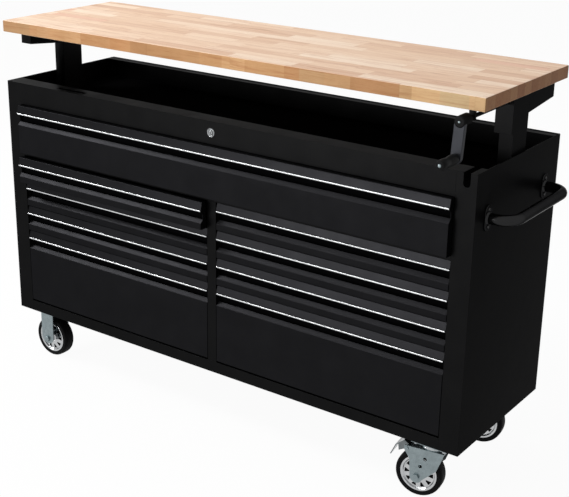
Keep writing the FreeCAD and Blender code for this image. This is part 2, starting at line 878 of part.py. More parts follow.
def outer_column(x, outer_side):
    """Fixed tube, its spacers to the side panel and the nut post inside it."""
    half_width = column_width / 2 + guide_gap
    half_depth = column_depth / 2 + guide_gap
    top = cabinet_height - outer_column_rim_gap
    front = column_y - half_depth
    back = column_y + half_depth
    outside = box(
        x - half_width - tube_wall, x + half_width + tube_wall, front - tube_wall, back + tube_wall,
        base_sheet, top,
    )
    inside = box(x - half_width, x + half_width, front, back, base_sheet, top)
    wall = panel if outer_side < 0 else cabinet_width - panel
    face = x + outer_side * (half_width + tube_wall)
    spacers = []
    for level in (lower_spacer, upper_spacer):
        spacers.append(box(
            min(wall, face), max(wall, face), column_y - spacer_width / 2, column_y + spacer_width / 2,
            level, level + spacer_height,
        ))
    nut_top = head_bottom - nut_drop
    post = rod(V(x, column_y, base_sheet), Z_AXIS, nut_post_radius, nut_top - base_sheet)
    hollow = rod(V(x, column_y, base_sheet), Z_AXIS, nut_post_bore, nut_top - nut_height - base_sheet)
    thread = rod(V(x, column_y, base_sheet), Z_AXIS, screw_radius + running_gap, nut_top - base_sheet)
    return [outside.cut(inside)] + spacers + [post.cut(hollow).cut(thread)]


def outer_columns():
    """Both fixed columns."""
    return outer_column(column_left, -1) + outer_column(column_right, 1)


def bevel_gear(apex, direction):
    """Bevel gear on one side of the point where two shafts meet; direction leads away from it."""
    near = gear_radius - gear_face
    cone = Part.makeCone(near - mesh_gap, gear_radius - mesh_gap, gear_face, V(0, 0, near), Z_AXIS)
    slot = Part.makeBox(
        gear_face * math.sqrt(2) + 2 * tooth_gap_depth, tooth_gap_width, 2 * tooth_gap_depth,
        V(near * math.sqrt(2) - tooth_gap_depth, -tooth_gap_width / 2, -tooth_gap_depth),
    )
    slot.rotate(V(0, 0, 0), Y_AXIS, -45)
    slot.translate(V(-mesh_gap, 0, 0))
    slots = []
    for tooth in range(gear_teeth):
        turned_slot = slot.copy()
        turned_slot.rotate(V(0, 0, 0), Z_AXIS, 360.0 * tooth / gear_teeth)
        slots.append(turned_slot)
    gear = cone.cut(slots)
    gear.Placement = FreeCAD.Placement(apex, FreeCAD.Rotation(Z_AXIS, direction))
    return gear


def lead_screw(x, top_gear):
    """Lead screw with its thrust collars and bevel gears; the right one also has the crank's gear."""
    foot = head_bottom - screw_end_drop
    floor_top = head_bottom + head_floor
    lower_apex = V(x, column_y, cross_shaft_z)
    lower_back = cross_shaft_z - gear_radius
    shank = rod(V(x, column_y, foot), Z_AXIS, screw_radius, floor_top + race_gap - foot)
    upper_collar = rod(
        V(x, column_y, floor_top + race_gap), Z_AXIS, thrust_collar_radius, thrust_collar_height,
    )
    lower_collar = rod(
        V(x, column_y, head_bottom - race_gap - thrust_collar_height), Z_AXIS,
        thrust_collar_radius, thrust_collar_height,
    )
    neck = rod(V(x, column_y, floor_top), Z_AXIS, spindle_radius, lower_back - floor_top)
    pieces = [shank, upper_collar, lower_collar, neck, bevel_gear(lower_apex, -Z_AXIS)]
    if top_gear:
        upper_back = crank_z - gear_radius
        spindle = rod(V(x, column_y, lower_back), Z_AXIS, spindle_radius, upper_back - lower_back)
        pieces += [spindle, bevel_gear(V(x, column_y, crank_z), -Z_AXIS)]
    return [fused(pieces)]


def cross_shaft():
    """Shaft that carries the crank's turning to the left column."""
    left_back = column_left + gear_radius
    right_back = column_right - gear_radius
    shaft = rod(V(left_back, column_y, cross_shaft_z), X_AXIS, shaft_radius, right_back - left_back)
    hexagon = hex_bar(
        V(hex_end, column_y, cross_shaft_z), X_AXIS, hex_radius, cabinet_width - 2 * hex_end,
    )
    left_gear = bevel_gear(V(column_left, column_y, cross_shaft_z), X_AXIS)
    right_gear = bevel_gear(V(column_right, column_y, cross_shaft_z), -X_AXIS)
    return [fused([shaft, hexagon, left_gear, right_gear])]


def crank():
    """Crank shaft with its gear, and the lever with hub, screw and grip pin."""
    gear_back = column_y - gear_radius
    shaft = rod(V(column_right, lever_front, crank_z), Y_AXIS, shaft_radius, gear_back - lever_front)
    gear = bevel_gear(V(column_right, column_y, crank_z), -Y_AXIS)
    hub = rod(V(column_right, lever_front, crank_z), Y_AXIS, hub_radius, hub_length)
    half = lever_width / 2
    lever = prism_y(
        [
            (column_right - half, crank_z), (column_right + half, crank_z),
            (lever_end_x + half, lever_end_z), (lever_end_x - half, lever_end_z),
        ],
        lever_front, lever_front + lever_thickness,
    )
    lever_end = rod(V(lever_end_x, lever_front, lever_end_z), Y_AXIS, half, lever_thickness)
    bore = rod(V(column_right, lever_front, crank_z), Y_AXIS, shaft_radius, hub_length)
    pin_hole = rod(V(lever_end_x, lever_front, lever_end_z), Y_AXIS, grip_pin_radius, lever_thickness)
    screw = rod(
        V(column_right, lever_front - hub_screw_head, crank_z), Y_AXIS, hub_screw_radius, hub_screw_head,
    )
    pin = rod(
        V(lever_end_x, crank_tip, lever_end_z), Y_AXIS, grip_pin_radius,
        lever_front + lever_thickness - crank_tip,
    )
    bolt_head = rod(V(lever_end_x, crank_tip, lever_end_z), Y_AXIS, grip_bolt_radius, grip_bolt_head)
    return [
        fused([shaft, gear]),
        fused([hub, lever, lever_end]).cut(bore).cut(pin_hole),
        screw,
        fused([pin, bolt_head]),
    ]


def crank_grip():
    """Turning grip with a slight waist."""
    quarter = grip_length / 4
    outline = [
        (grip_pin_radius + running_gap, 0), (grip_waist, 0), (grip_radius, quarter / 2),
        (grip_waist, 2 * quarter), (grip_radius, 4 * quarter - quarter / 2), (grip_waist, 4 * quarter),
        (grip_pin_radius + running_gap, 4 * quarter),
    ]
    return [placed(turned(outline), lever_end_x, grip_tip, lever_end_z)]


def wheel_hub():
    """Windowed wheel centre on its bearing barrel, axle along Y."""
    bore = axle_radius + running_gap
    rim_half = tyre_half_width - rim_inset
    half_outline = [
        (bore, barrel_half_length), (barrel_radius, barrel_half_length), (barrel_radius, web_half_width),
        (rim_inner_radius, web_half_width), (rim_inner_radius + rim_inset, rim_half),
        (rim_radius, rim_half),
    ]
    outline = half_outline + [(radius, -along) for radius, along in half_outline[::-1]]
    hub = turned(outline)
    window = prism_y(
        [
            (window_inner_radius, -window_inner_half), (window_outer_radius, -window_outer_half),
            (window_outer_radius, window_outer_half), (window_inner_radius, window_inner_half),
        ],
        -tyre_half_width, tyre_half_width,
    )
    windows = []
    for index in range(hub_windows):
        copy = window.copy()
        copy.rotate(V(0, 0, 0), Y_AXIS, 360.0 * index / hub_windows)
        windows.append(copy)
    return hub.cut(windows)


def tyre():
    """Rubber tread with rounded shoulders."""
    shoulder = tyre_half_width - tyre_shoulder
    side = wheel_radius - tyre_shoulder
    bend = tyre_shoulder * (1 - math.sqrt(0.5))
    corner = wheel_radius - bend
    edge = tyre_half_width - bend
    lines = [
        Part.LineSegment(V(rim_radius, -tyre_half_width, 0), V(side, -tyre_half_width, 0)),
        Part.Arc(V(side, -tyre_half_width, 0), V(corner, -edge, 0), V(wheel_radius, -shoulder, 0)),
        Part.LineSegment(V(wheel_radius, -shoulder, 0), V(wheel_radius, shoulder, 0)),
        Part.Arc(V(wheel_radius, shoulder, 0), V(corner, edge, 0), V(side, tyre_half_width, 0)),
        Part.LineSegment(V(side, tyre_half_width, 0), V(rim_radius, tyre_half_width, 0)),
        Part.LineSegment(V(rim_radius, tyre_half_width, 0), V(rim_radius, -tyre_half_width, 0)),
    ]
    outline = Part.Face(Part.Wire([line.toShape() for line in lines]))
    return outline.revolve(V(0, 0, 0), Y_AXIS, 360)


def axle():
    """Axle bolt across a fork with a hexagon at each end."""
    end = fork_outer + nut_thickness
    return fused([
        rod(V(0, -end, 0), Y_AXIS, axle_radius, 2 * end),
        hex_bar(V(0, -end, 0), Y_AXIS, nut_radius, nut_thickness),
        hex_bar(V(0, fork_outer, 0), Y_AXIS, nut_radius, nut_thickness),
    ])


def fork_side(top_points, arc):
    """One side plate of a fork from its straight outline and the arc round the axle."""
    points = [V(x, -fork_outer, z) for x, z in top_points]
    edges = [Part.LineSegment(a, b).toShape() for a, b in zip(points, points[1:])]
    middle = V(arc[0], -fork_outer, arc[1])
    edges.append(Part.Arc(points[-1], middle, points[0]).toShape())
    return Part.Face(Part.Wire(edges)).extrude(V(0, fork_sheet, 0))


def both_sides(plate):
    """A fork side and its twin across the wheel."""
    return [plate, plate.mirror(V(0, 0, 0), Y_AXIS)]


def rigid_fork():
    """Straight fork under its mounting plate."""
    half = rigid_fork_width / 2
    top = mount_bottom
    side = fork_side([(-half, 0), (-half, top), (half, top), (half, 0)], (0, -rigid_fork_drop))
    web = box(-half, half, -fork_inner, fork_inner, top - fork_sheet, top)
    hole = rod(V(0, -fork_outer, 0), Y_AXIS, axle_radius, 2 * fork_outer)
    return fused(both_sides(side) + [web]).cut(hole)


def swivel_fork():
    """Swivelling fork: crown with the lower race, and two sides swept back to the wheel."""
    front = swivel_trail + crown_front
    back = swivel_trail - ear_back
    web_back = swivel_trail - crown_back
    side = fork_side(
        [
            (-fork_boss_radius, 0), (fork_waist_back, fork_waist_height),
            (back, crown_bottom - fork_ear_depth), (back, crown_top), (front, crown_top),
            (front - fork_cheek_inset, crown_bottom - fork_cheek_depth),
            (fork_knee_front, fork_knee_height), (fork_boss_front, fork_boss_rise),
        ],
        (fork_boss_rim, -fork_boss_radius),
    )
    crown = box(web_back, front, -fork_inner, fork_inner, crown_bottom, crown_top)
    race = rod(V(swivel_trail, 0, crown_top), Z_AXIS, lower_race_radius, lower_race_height)
    kingpin_bore = kingpin_radius + running_gap
    kingpin_hole = rod(
        V(swivel_trail, 0, crown_bottom), Z_AXIS, kingpin_bore, crown_thickness + lower_race_height,
    )
    holes = [
        kingpin_hole,
        rod(V(0, -fork_outer, 0), Y_AXIS, axle_radius, 2 * fork_outer),
        rod(pedal_pivot(-fork_outer), Y_AXIS, pedal_pin_radius, 2 * fork_outer),
    ]
    for along, height in fork_holes:
        holes.append(rod(V(along, -fork_outer, height), Y_AXIS, fork_hole_radius, 2 * fork_outer))
    return fused(both_sides(side) + [crown, race]).cut(holes)


def pedal_pivot(y):
    """Point on the brake pedal's pin."""
    return V(swivel_trail - pedal_pivot_back, y, crown_bottom - pedal_pivot_drop)


def pedal_pin():
    """Pin of the brake pedal, riveted over at both ends."""
    end = fork_outer + pedal_pin_head
    return fused([
        rod(pedal_pivot(-end), Y_AXIS, pedal_pin_radius, 2 * end),
        rod(pedal_pivot(-end), Y_AXIS, pedal_pin_head_radius, pedal_pin_head),
        rod(pedal_pivot(fork_outer), Y_AXIS, pedal_pin_head_radius, pedal_pin_head),
    ])


def brake_pedal():
    """Curved foot pedal with side cheeks, boss and a shoe over the tyre."""
    pivot = pedal_pivot(0)

    def from_pivot(outline):
        return [(pivot.x + along, pivot.z + rise) for along, rise in outline]

    tread = prism_y(
        folded(from_pivot(pedal_tread), -pedal_sheet), -pedal_half_width, pedal_half_width,
    )
    cheek = from_pivot(pedal_cheek)
    cheeks = [
        prism_y(cheek, -pedal_half_width, pedal_sheet - pedal_half_width),
        prism_y(cheek, pedal_half_width - pedal_sheet, pedal_half_width),
    ]
    shoe = prism_y(from_pivot(pedal_shoe), -pedal_shoe_half_width, pedal_shoe_half_width)
    boss_end = pedal_pivot(-pedal_boss_half_length)
    boss = rod(boss_end, Y_AXIS, pedal_boss_radius, 2 * pedal_boss_half_length)
    bore = rod(boss_end, Y_AXIS, pedal_pin_radius + running_gap, 2 * pedal_boss_half_length)
    return fused([tread, boss, shoe] + cheeks).cut(bore)


def kingpin():
    """Fixed race and kingpin of a swivel caster, with the nut under the crown."""
    nut_top = crown_bottom - race_gap
    return fused([
        rod(V(0, 0, race_bottom), Z_AXIS, race_radius, race_height),
        rod(V(0, 0, nut_top), Z_AXIS, kingpin_radius, race_bottom - nut_top),
        hex_bar(V(0, 0, nut_top - kingpin_nut_height), Z_AXIS, kingpin_nut_radius, kingpin_nut_height),
    ])


def mount_plate():
    """Plate that bolts a caster under the base."""
    return box(
        -mount_plate_length / 2, mount_plate_length / 2, -mount_plate_width / 2, mount_plate_width / 2,
        mount_bottom, mount_top,
    )


def rigid_casters():
    """Names and places of the two rigid casters."""
    return {
        "front_left": (rigid_caster_x, caster_front_y),
        "rear_left": (rigid_caster_x, caster_front_y + rigid_caster_span),
    }


def swivel_casters():
    """Names and swivel axes of the two swivel casters."""
    return {
        "front": (swivel_x, swivel_front_y),
        "rear": (swivel_x, swivel_front_y + swivel_span),
    }


def swivel_wheel_centre(x, y):
    """Centre of the wheel that trails behind a swivel axis."""
    return x - swivel_trail * math.cos(yaw), y - swivel_trail * math.sin(yaw)


def casters():
    """All four casters: mounts, forks, pedals, hubs and tyres."""
    nodes = {"caster_mounts": []}
    for name, (x, y) in rigid_casters().items():
        for piece in (mount_plate(), rigid_fork(), axle()):
            nodes["caster_mounts"].append(placed(piece, x, y, axle_z))
        nodes[f"wheel_hub_{name}"] = [placed(wheel_hub(), x, y, axle_z)]
        nodes[f"tyre_{name}"] = [placed(tyre(), x, y, axle_z)]
    for name, (x, y) in swivel_casters().items():
        wheel_x, wheel_y = swivel_wheel_centre(x, y)
        for piece in (mount_plate(), kingpin()):
            nodes["caster_mounts"].append(placed(piece, x, y, axle_z))
        swivelling = {
            f"swivel_fork_{name}": [swivel_fork(), axle(), pedal_pin()],
            f"brake_pedal_{name}": [brake_pedal()],
            f"wheel_hub_{name}_right": [wheel_hub()],
            f"tyre_{name}_right": [tyre()],
        }
        for node, pieces in swivelling.items():
            nodes[node] = [placed(piece, wheel_x, wheel_y, axle_z, swivel_yaw) for piece in pieces]
    return nodes


def screws():
    """Caster bolts and handle screws."""
    heads = []
    for x, y in list(rigid_casters().values()) + list(swivel_casters().values()):
        for across in (-caster_bolt_spacing_x / 2, caster_bolt_spacing_x / 2):
            for along in (-caster_bolt_spacing_y / 2, caster_bolt_spacing_y / 2):
                start = V(x + across, y + along, axle_z + mount_bottom - caster_bolt_head)
                heads.append(hex_bar(start, Z_AXIS, caster_bolt_radius, caster_bolt_head))
    z = cabinet_height - handle_drop
    for y in (handle_front, handle_front + handle_span):
        for rise in (-flange_screw_offset, flange_screw_offset):
            start = V(cabinet_width + flange_thickness, y, z + rise)
            heads.append(rod(start, X_AXIS, flange_screw_radius, flange_screw_head))
    return heads


def build():
    """Every node of the chest, as lists of solids in the cabinet's frame."""
    nodes = {
        "cabinet_shell": cabinet_shell(),
        "base_pan": base_pan(),
        "front_frame": front_frame(),
        "inner_panels": inner_panels(),
        "top_apron": top_apron(),
        "compartment_floor": compartment_floor(),
        "cabinet_slide_rails": cabinet_slide_rails(),
        "lock_housing": lock_housing(),
        "lock_plug": lock_plug(),
        "side_handle": side_handle(),
        "worktop": worktop(),
        "lift_frame": lift_frame(),
        "inner_columns": inner_columns(),
        "outer_columns": outer_columns(),
        "cross_shaft": cross_shaft(),
        "crank": crank(),
        "crank_grip": crank_grip(),
        "lead_screw_left": lead_screw(column_left, False),
        "lead_screw_right": lead_screw(column_right, True),
        "screws": screws(),
    }
    nodes.update(drawers())
    nodes.update(casters())
    return nodes


def main():
    """Move every node to the part's origin and write it as a STEP file."""
    os.makedirs("parts", exist_ok=True)
    shift = V(-origin_x, -origin_y, -origin_z)
    for name, solids in build().items():
        shape = Part.makeCompound([solid.translated(shift) for solid in solids])
        count = sum(len(solid.Solids) for solid in solids)
        if count != len(solids) or not shape.isValid():
            print("check", name, count, "solids for", len(solids), "pieces, valid", shape.isValid())
        shape.exportStep(f"parts/{name}.step")
    print("written", len(os.listdir("parts")), "nodes")


main()
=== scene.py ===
"""Look of a mobile workbench tool chest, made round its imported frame."""

import logging
import math
from dataclasses import dataclass
from enum import Enum

import bmesh
import bpy
from mathutils import Matrix, Vector

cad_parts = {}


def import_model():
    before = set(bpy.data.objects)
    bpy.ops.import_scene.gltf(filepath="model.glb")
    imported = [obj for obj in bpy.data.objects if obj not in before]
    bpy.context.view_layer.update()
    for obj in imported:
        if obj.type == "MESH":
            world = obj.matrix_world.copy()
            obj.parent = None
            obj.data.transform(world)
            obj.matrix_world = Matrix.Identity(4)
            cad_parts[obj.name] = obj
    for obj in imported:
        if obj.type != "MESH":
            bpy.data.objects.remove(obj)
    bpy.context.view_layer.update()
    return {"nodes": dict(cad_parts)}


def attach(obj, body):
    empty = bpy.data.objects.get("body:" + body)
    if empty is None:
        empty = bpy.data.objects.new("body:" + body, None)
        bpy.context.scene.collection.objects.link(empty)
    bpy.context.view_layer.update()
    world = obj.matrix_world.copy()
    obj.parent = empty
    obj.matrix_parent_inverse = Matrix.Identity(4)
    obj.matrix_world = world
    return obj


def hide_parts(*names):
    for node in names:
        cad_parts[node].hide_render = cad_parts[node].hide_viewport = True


LOG = logging.getLogger("tool_chest")
MM = 0.001
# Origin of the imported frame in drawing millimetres, from the body's front left bottom corner.
DRAWING_ORIGIN = Vector((810.25, 164.0, -160.0))
ORIGIN = (0.0, 0.0, 0.0)
EVEN = (1.0, 1.0, 1.0)

# Millimetres within which doubles merge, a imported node's doubles merge, and a fold is found.
MERGE = 0.001
NODE_MERGE = 0.002
NEAR = 0.01
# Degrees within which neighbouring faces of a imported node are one.
FLAT = 0.3

Pair = tuple[float, float]
Triple = tuple[float, float, float]
Profile = tuple[Pair, ...]
Channels = tuple[float, Profile]
Stops = tuple[tuple[float, Triple], ...]
Piece = bpy.types.Object
Socket = bpy.types.NodeSocket


class Axis(Enum):
    """Direction that a modelled piece is laid along, as its turn out of the modelling pose."""

    X = ((1, 0, 0), (0, 1, 0), (0, 0, 1))
    Y = ((0, 0, 1), (1, 0, 0), (0, 1, 0))
    Z = ((0, 1, 0), (0, 0, 1), (1, 0, 0))

    def turn(self) -> Matrix:
        """Turn that lays the modelling X axis along this direction."""
        return Matrix(self.value).to_4x4()


class Slot(Enum):
    """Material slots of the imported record."""

    BODY = "body_paint"
    DRAWER = "drawer_paint"
    GLOSS = "gloss_paint"
    DARK = "dark_steel"
    TRIM = "bright_trim"
    LOCK = "lock_chrome"
    ZINC = "zinc_plate"
    WHEEL = "wheel_metal"
    STEEL = "plain_steel"
    WOOD = "beech"
    TYRE = "tyre_rubber"
    GRIP = "grip_plastic"


class Special(Enum):
    """Finishes of pieces that differ from their slot's usual one."""

    # Painted shade: a very dark, dull coat on the finger recesses and the inside of the body.
    RECESS = "thin, dull coat in a finger recess and inside the body"
    # Painted shade: the pedals' zinc, darker and glossier than that of the forks.
    PEDAL = "brighter plating of the stamped pedals"
    SCREW = "black screws of the push handle"


def rectangle(low: Pair, high: Pair) -> list[Pair]:
    """Corners of a rectangle from its lowest and its highest one."""
    return [low, (high[0], low[1]), high, (low[0], high[1])]


def capsule(first: Pair, second: Pair, radius: float, steps: int, lean: float = 0.0) -> list[Pair]:
    """Outline of a bar with round ends.

    Args:
        first: Centre of the end that is drawn first.
        second: Centre of the other end.
        radius: Radius of both ends.
        steps: Steps of each end.
        lean: Angle that the outline starts at.

    Returns:
        The outline's corners.
    """
    return [
        (u + radius * math.cos(angle), v + radius * math.sin(angle))
        for (u, v), start in ((first, lean), (second, lean + math.pi))
        for angle in (start + math.pi * step / steps for step in range(steps + 1))
    ]


def both_sides(side: Profile) -> list[Pair]:
    """Whole profile of a wheel part from one side of it."""
    return [*side, *((radius, -along) for radius, along in side[::-1])]


class Graph:
    """Short hand for wiring one node tree."""

    def __init__(self, tree: bpy.types.NodeTree) -> None:
        """Empty the tree that is wired."""
        self.tree = tree
        tree.nodes.clear()

    def put(self, target: Socket, value: object) -> None:
        """Link a socket to another one, or set its number, vector or colour.

        Args:
            target: Input socket.
            value: Socket, number or numbers; a colour may leave out its alpha.
        """
        if isinstance(value, bpy.types.NodeSocket):
            self.tree.links.new(value, target)
        else:
            target.default_value = (*value[:3], 1.0) if target.type == "RGBA" else value

    def feed(self, node: bpy.types.Node, **values: object) -> None:
        """Put values into a node's sockets.

        Args:
            node: The node.
            **values: Values by socket name, with spaces as underscores, or by number as in0.
        """
        for name, value in values.items():
            numbered = name.startswith("in") and name[2:].isdigit()
            self.put(node.inputs[int(name[2:]) if numbered else name.replace("_", " ")], value)

    def add(self, kind: str, **values: object) -> bpy.types.Node:
        """Add a node with its options and sockets.

        Args:
            kind: Node type without the ShaderNode prefix, or a full group node type.
            **values: Options by attribute name, and sockets as feed takes them.

        Returns:
            The new node.
        """
        node = self.tree.nodes.new(kind if kind.startswith("Node") else f"ShaderNode{kind}")
        for name, value in values.items():
            if hasattr(node, name):
                setattr(node, name, value)
            else:
                self.feed(node, **{name: value})
        return node

    def place(self) -> Socket:
        """Object coordinates."""
        return self.add("TexCoord").outputs["Object"]

    def noise(self, **settings: object) -> Socket:
        """Value of a noise texture with these settings."""
        return self.add("TexNoise", **settings).outputs["Fac"]

    def bump(self, height: Socket, **settings: object) -> Socket:
        """Normal of a bump node with these settings."""
        return self.add("Bump", Height=height, **settings).outputs["Normal"]

    def ramp(self, source: Socket, stops: Stops) -> Socket:
        """Colour ramp fed by a value.

        Args:
            source: Value socket that drives the ramp.
            stops: Position and colour of each stop.

        Returns:
            The colour socket.
        """
        node = self.add("ValToRGB", Fac=source)
        elements = node.color_ramp.elements
        while len(elements) < len(stops):
            elements.new(0.5)
        for element, (position, colour) in zip(elements, stops):
            element.position = position
            element.color = (*colour, 1.0)
        return node.outputs["Color"]

    def maths(self, operation: str, *terms: object) -> Socket:
        """Math node.

        Args:
            operation: Blender's name of the operation.
            *terms: Sockets or numbers, in order.

        Returns:
            The value socket.
        """
        node = self.add("Math", operation=operation)
        for socket, term in zip(node.inputs, terms):
            self.put(socket, term)
        return node.outputs[0]


class EffectGroups:
    """Shader node groups that several finishes share, each built once."""

    noise_span = (0.3, 0.7)
    stagger = 7.3
    sway_start = 61.0
    sway_rate = 2.4
    sway = 0.2
    glue_lines = (0.012, 0.0014)
    rare_from = 0.965
    jump = 9.0
    figure_stretch = (3.0, 55.0, 55.0)
    fleck_stretch = (90.0, 900.0, 900.0)

    def __init__(self) -> None:
        """Build every group."""
        for build in (self._mottle, self._grain, self._orange_peel, self._staves):
            build()

    @staticmethod
    def _open(name: str, inputs: dict[str, object], outputs: dict[str, str]) -> tuple[Graph, object]:
        """Start a group with named sockets.

        Args:
            name: Group name.
            inputs: Default of each input: a number, a vector or a colour with its alpha.
            outputs: Short type of each output.

        Returns:
            The group's graph and the sockets that it is given.
        """
        tree = bpy.data.node_groups.new(name, "ShaderNodeTree")
        for label, default in inputs.items():
            kind = "Float" if isinstance(default, float) else {3: "Vector", 4: "Color"}[len(default)]
            socket = tree.interface.new_socket(label, in_out="INPUT", socket_type=f"NodeSocket{kind}")
            socket.default_value = default
        for label, kind in outputs.items():
            tree.interface.new_socket(label, in_out="OUTPUT", socket_type=f"NodeSocket{kind}")
        graph = Graph(tree)
        return graph, graph.add("NodeGroupInput").outputs

    def _mottle(self) -> None:
        """Slow change between two colours with a mask for roughness."""
        graph, given = self._open(
            "mottle",
            {"Scale": 20.0, "First": (0, 0, 0, 1), "Second": (1, 1, 1, 1), "Low": 0.3, "High": 0.5},
            {"Color": "Color", "Roughness": "Float"},
        )
        noise = graph.noise(Vector=graph.place(), Scale=given["Scale"], Detail=4.0, Roughness=0.6)
        mix = graph.add("Mix", data_type="RGBA", in0=noise, in6=given["First"], in7=given["Second"])
        low, high = self.noise_span
        spread = graph.add("MapRange", in0=noise, in1=low, in2=high, in3=given["Low"], in4=given["High"])
        graph.add("NodeGroupOutput", Color=mix.outputs[2], Roughness=spread.outputs[0])
        self.mottle = graph.tree

    def _grain(self) -> None:
        """Fine parallel scratches along one direction, as height."""
        graph, given = self._open("grain", {"Stretch": EVEN, "Scale": 900.0}, {"Height": "Float"})
        scaled = graph.add("VectorMath", operation="MULTIPLY", in0=graph.place(), in1=given["Stretch"])
        noise = graph.noise(Vector=scaled.outputs[0], Scale=given["Scale"], Detail=3.0)
        graph.add("NodeGroupOutput", Height=noise)
        self.grain = graph.tree

    def _orange_peel(self) -> None:
        """Small round bumps of a powder coat or moulded skin, as a normal."""
        graph, given = self._open("orange_peel", {"Scale": 500.0, "Depth": 0.02}, {"Normal": "Vector"})
        noise = graph.noise(Vector=graph.place(), Scale=given["Scale"], Detail=2.0)
        graph.add("NodeGroupOutput", Normal=graph.bump(noise, Distance=MM, Strength=given["Depth"]))
        self.orange_peel = graph.tree

    def _staves(self) -> None:
        """Glued staves: a tone and a reddish mask per block, the glue lines and the wood's figure."""
        outputs = dict.fromkeys(("Tone", "Rare", "Joint", "Figure", "Fleck"), "Float")
        graph, given = self._open("staves", {"Width": 0.04, "Length": 0.34}, outputs)
        place = graph.place()
        x, y, _ = graph.add("SeparateXYZ", in0=place).outputs
        across = graph.maths("DIVIDE", y, given["Width"])
        row = graph.maths("FLOOR", across)
        chance = graph.add("TexWhiteNoise", noise_dimensions="1D", W=row).outputs["Value"]
        even = graph.maths("MULTIPLY_ADD", chance, self.stagger, graph.maths("DIVIDE", x, given["Length"]))
        run = graph.maths("MULTIPLY", even, self.sway_rate)
        phase = graph.maths("MULTIPLY_ADD", chance, self.sway_start, run)
        along = graph.maths("MULTIPLY_ADD", graph.maths("SINE", phase), self.sway, even)
        cell = graph.add("CombineXYZ", in0=graph.maths("FLOOR", along), in1=row).outputs[0]
        block = graph.add("TexWhiteNoise", noise_dimensions="2D", Vector=cell).outputs
        tone, chance, _ = graph.add("SeparateColor", in0=block["Color"]).outputs
        joints = (
            graph.maths("LESS_THAN", graph.maths("PINGPONG", ends, 0.5), width)
            for ends, width in zip((across, along), self.glue_lines)
        )
        jump = graph.maths("MULTIPLY", chance, self.jump)
        figure = graph.add(
            "VectorMath", operation="MULTIPLY_ADD", in0=place, in1=self.figure_stretch, in2=jump,
        ).outputs[0]
        fleck = graph.add("VectorMath", operation="MULTIPLY", in0=place, in1=self.fleck_stretch).outputs[0]
        graph.add(
            "NodeGroupOutput", Tone=tone, Rare=graph.maths("GREATER_THAN", block["Value"], self.rare_from),
            Joint=graph.maths("MAXIMUM", *joints),
            Figure=graph.noise(Vector=figure, Scale=1.6, Detail=6.0, Roughness=0.62, Distortion=0.9),
            Fleck=graph.noise(Vector=fleck, Scale=1.0, Detail=2.0),
        )
        self.staves = graph.tree


class Surface(Graph):
    """Graph of a new material with one Principled shader on its output."""

    def __init__(self, name: str) -> None:
        """Make the material.

        Args:
            name: Its name.
        """
        self.material = bpy.data.materials.new(name)
        self.material.use_nodes = True
        super().__init__(self.material.node_tree)
        self.shader = self.add("BsdfPrincipled")
        self.out = self.add("OutputMaterial", Surface=self.shader.outputs[0])


@dataclass(frozen=True)
class Coat:
    """Finish that drifts between two colours and two roughnesses."""

    name: str
    dark: Triple
    light: Triple
    rough: Pair
    mottle_scale: float = 14.0

    def make(self, groups: EffectGroups) -> Surface:
        """Build the material.

        Args:
            groups: Shared shader groups.

        Returns:
            Its graph.
        """
        surface = Surface(self.name)
        mottle = surface.add(
            "Group", node_tree=groups.mottle, Scale=self.mottle_scale, First=self.dark, Second=self.light,
            Low=self.rough[0], High=self.rough[1],
        ).outputs
        surface.feed(surface.shader, Base_Color=mottle["Color"], Roughness=mottle["Roughness"])
        return surface


@dataclass(frozen=True)
class Paint(Coat):
    """Powder coat or gloss paint with a slight orange peel."""

    peel_scale: float = 420.0
    peel_depth: float = 0.03
    metallic: float = 0.75
    specular: float = 0.0
    edge_tint: float = 0.475

    def make(self, groups: EffectGroups) -> Surface:
        """Build the material.

        Args:
            groups: Shared shader groups.

        Returns:
            Its graph.
        """
        surface = super().make(groups)
        peel = surface.add(
            "Group", node_tree=groups.orange_peel, Scale=self.peel_scale, Depth=self.peel_depth,
        )
        surface.feed(
            surface.shader, Normal=peel.outputs["Normal"], Metallic=self.metallic,
            Specular_IOR_Level=self.specular, Specular_Tint=(self.edge_tint,) * 3,
        )
        return surface


@dataclass(frozen=True)
class Rubber(Paint):
    """Tyre rubber or moulded grip, dull and finely grained."""

    peel_scale: float = 1500.0
    peel_depth: float = 0.12
    metallic: float = 0.0
    edge_tint: float = 1.0


@dataclass(frozen=True)
class Metal(Coat):
    """Bare or plated metal with rolling marks and a mottled sheen."""

    mottle_scale: float = 60.0
    stretch: Triple = EVEN
    grain_scale: float = 700.0
    grain_depth: float = 0.05

    def make(self, groups: EffectGroups) -> Surface:
        """Build the material.

        Args:
            groups: Shared shader groups.

        Returns:
            Its graph.
        """
        surface = super().make(groups)
        grain = surface.add("Group", node_tree=groups.grain, Stretch=self.stretch, Scale=self.grain_scale)
        normal = surface.bump(grain.outputs["Height"], Distance=MM, Strength=self.grain_depth)
        surface.feed(surface.shader, Normal=normal, Metallic=1.0)
        return surface


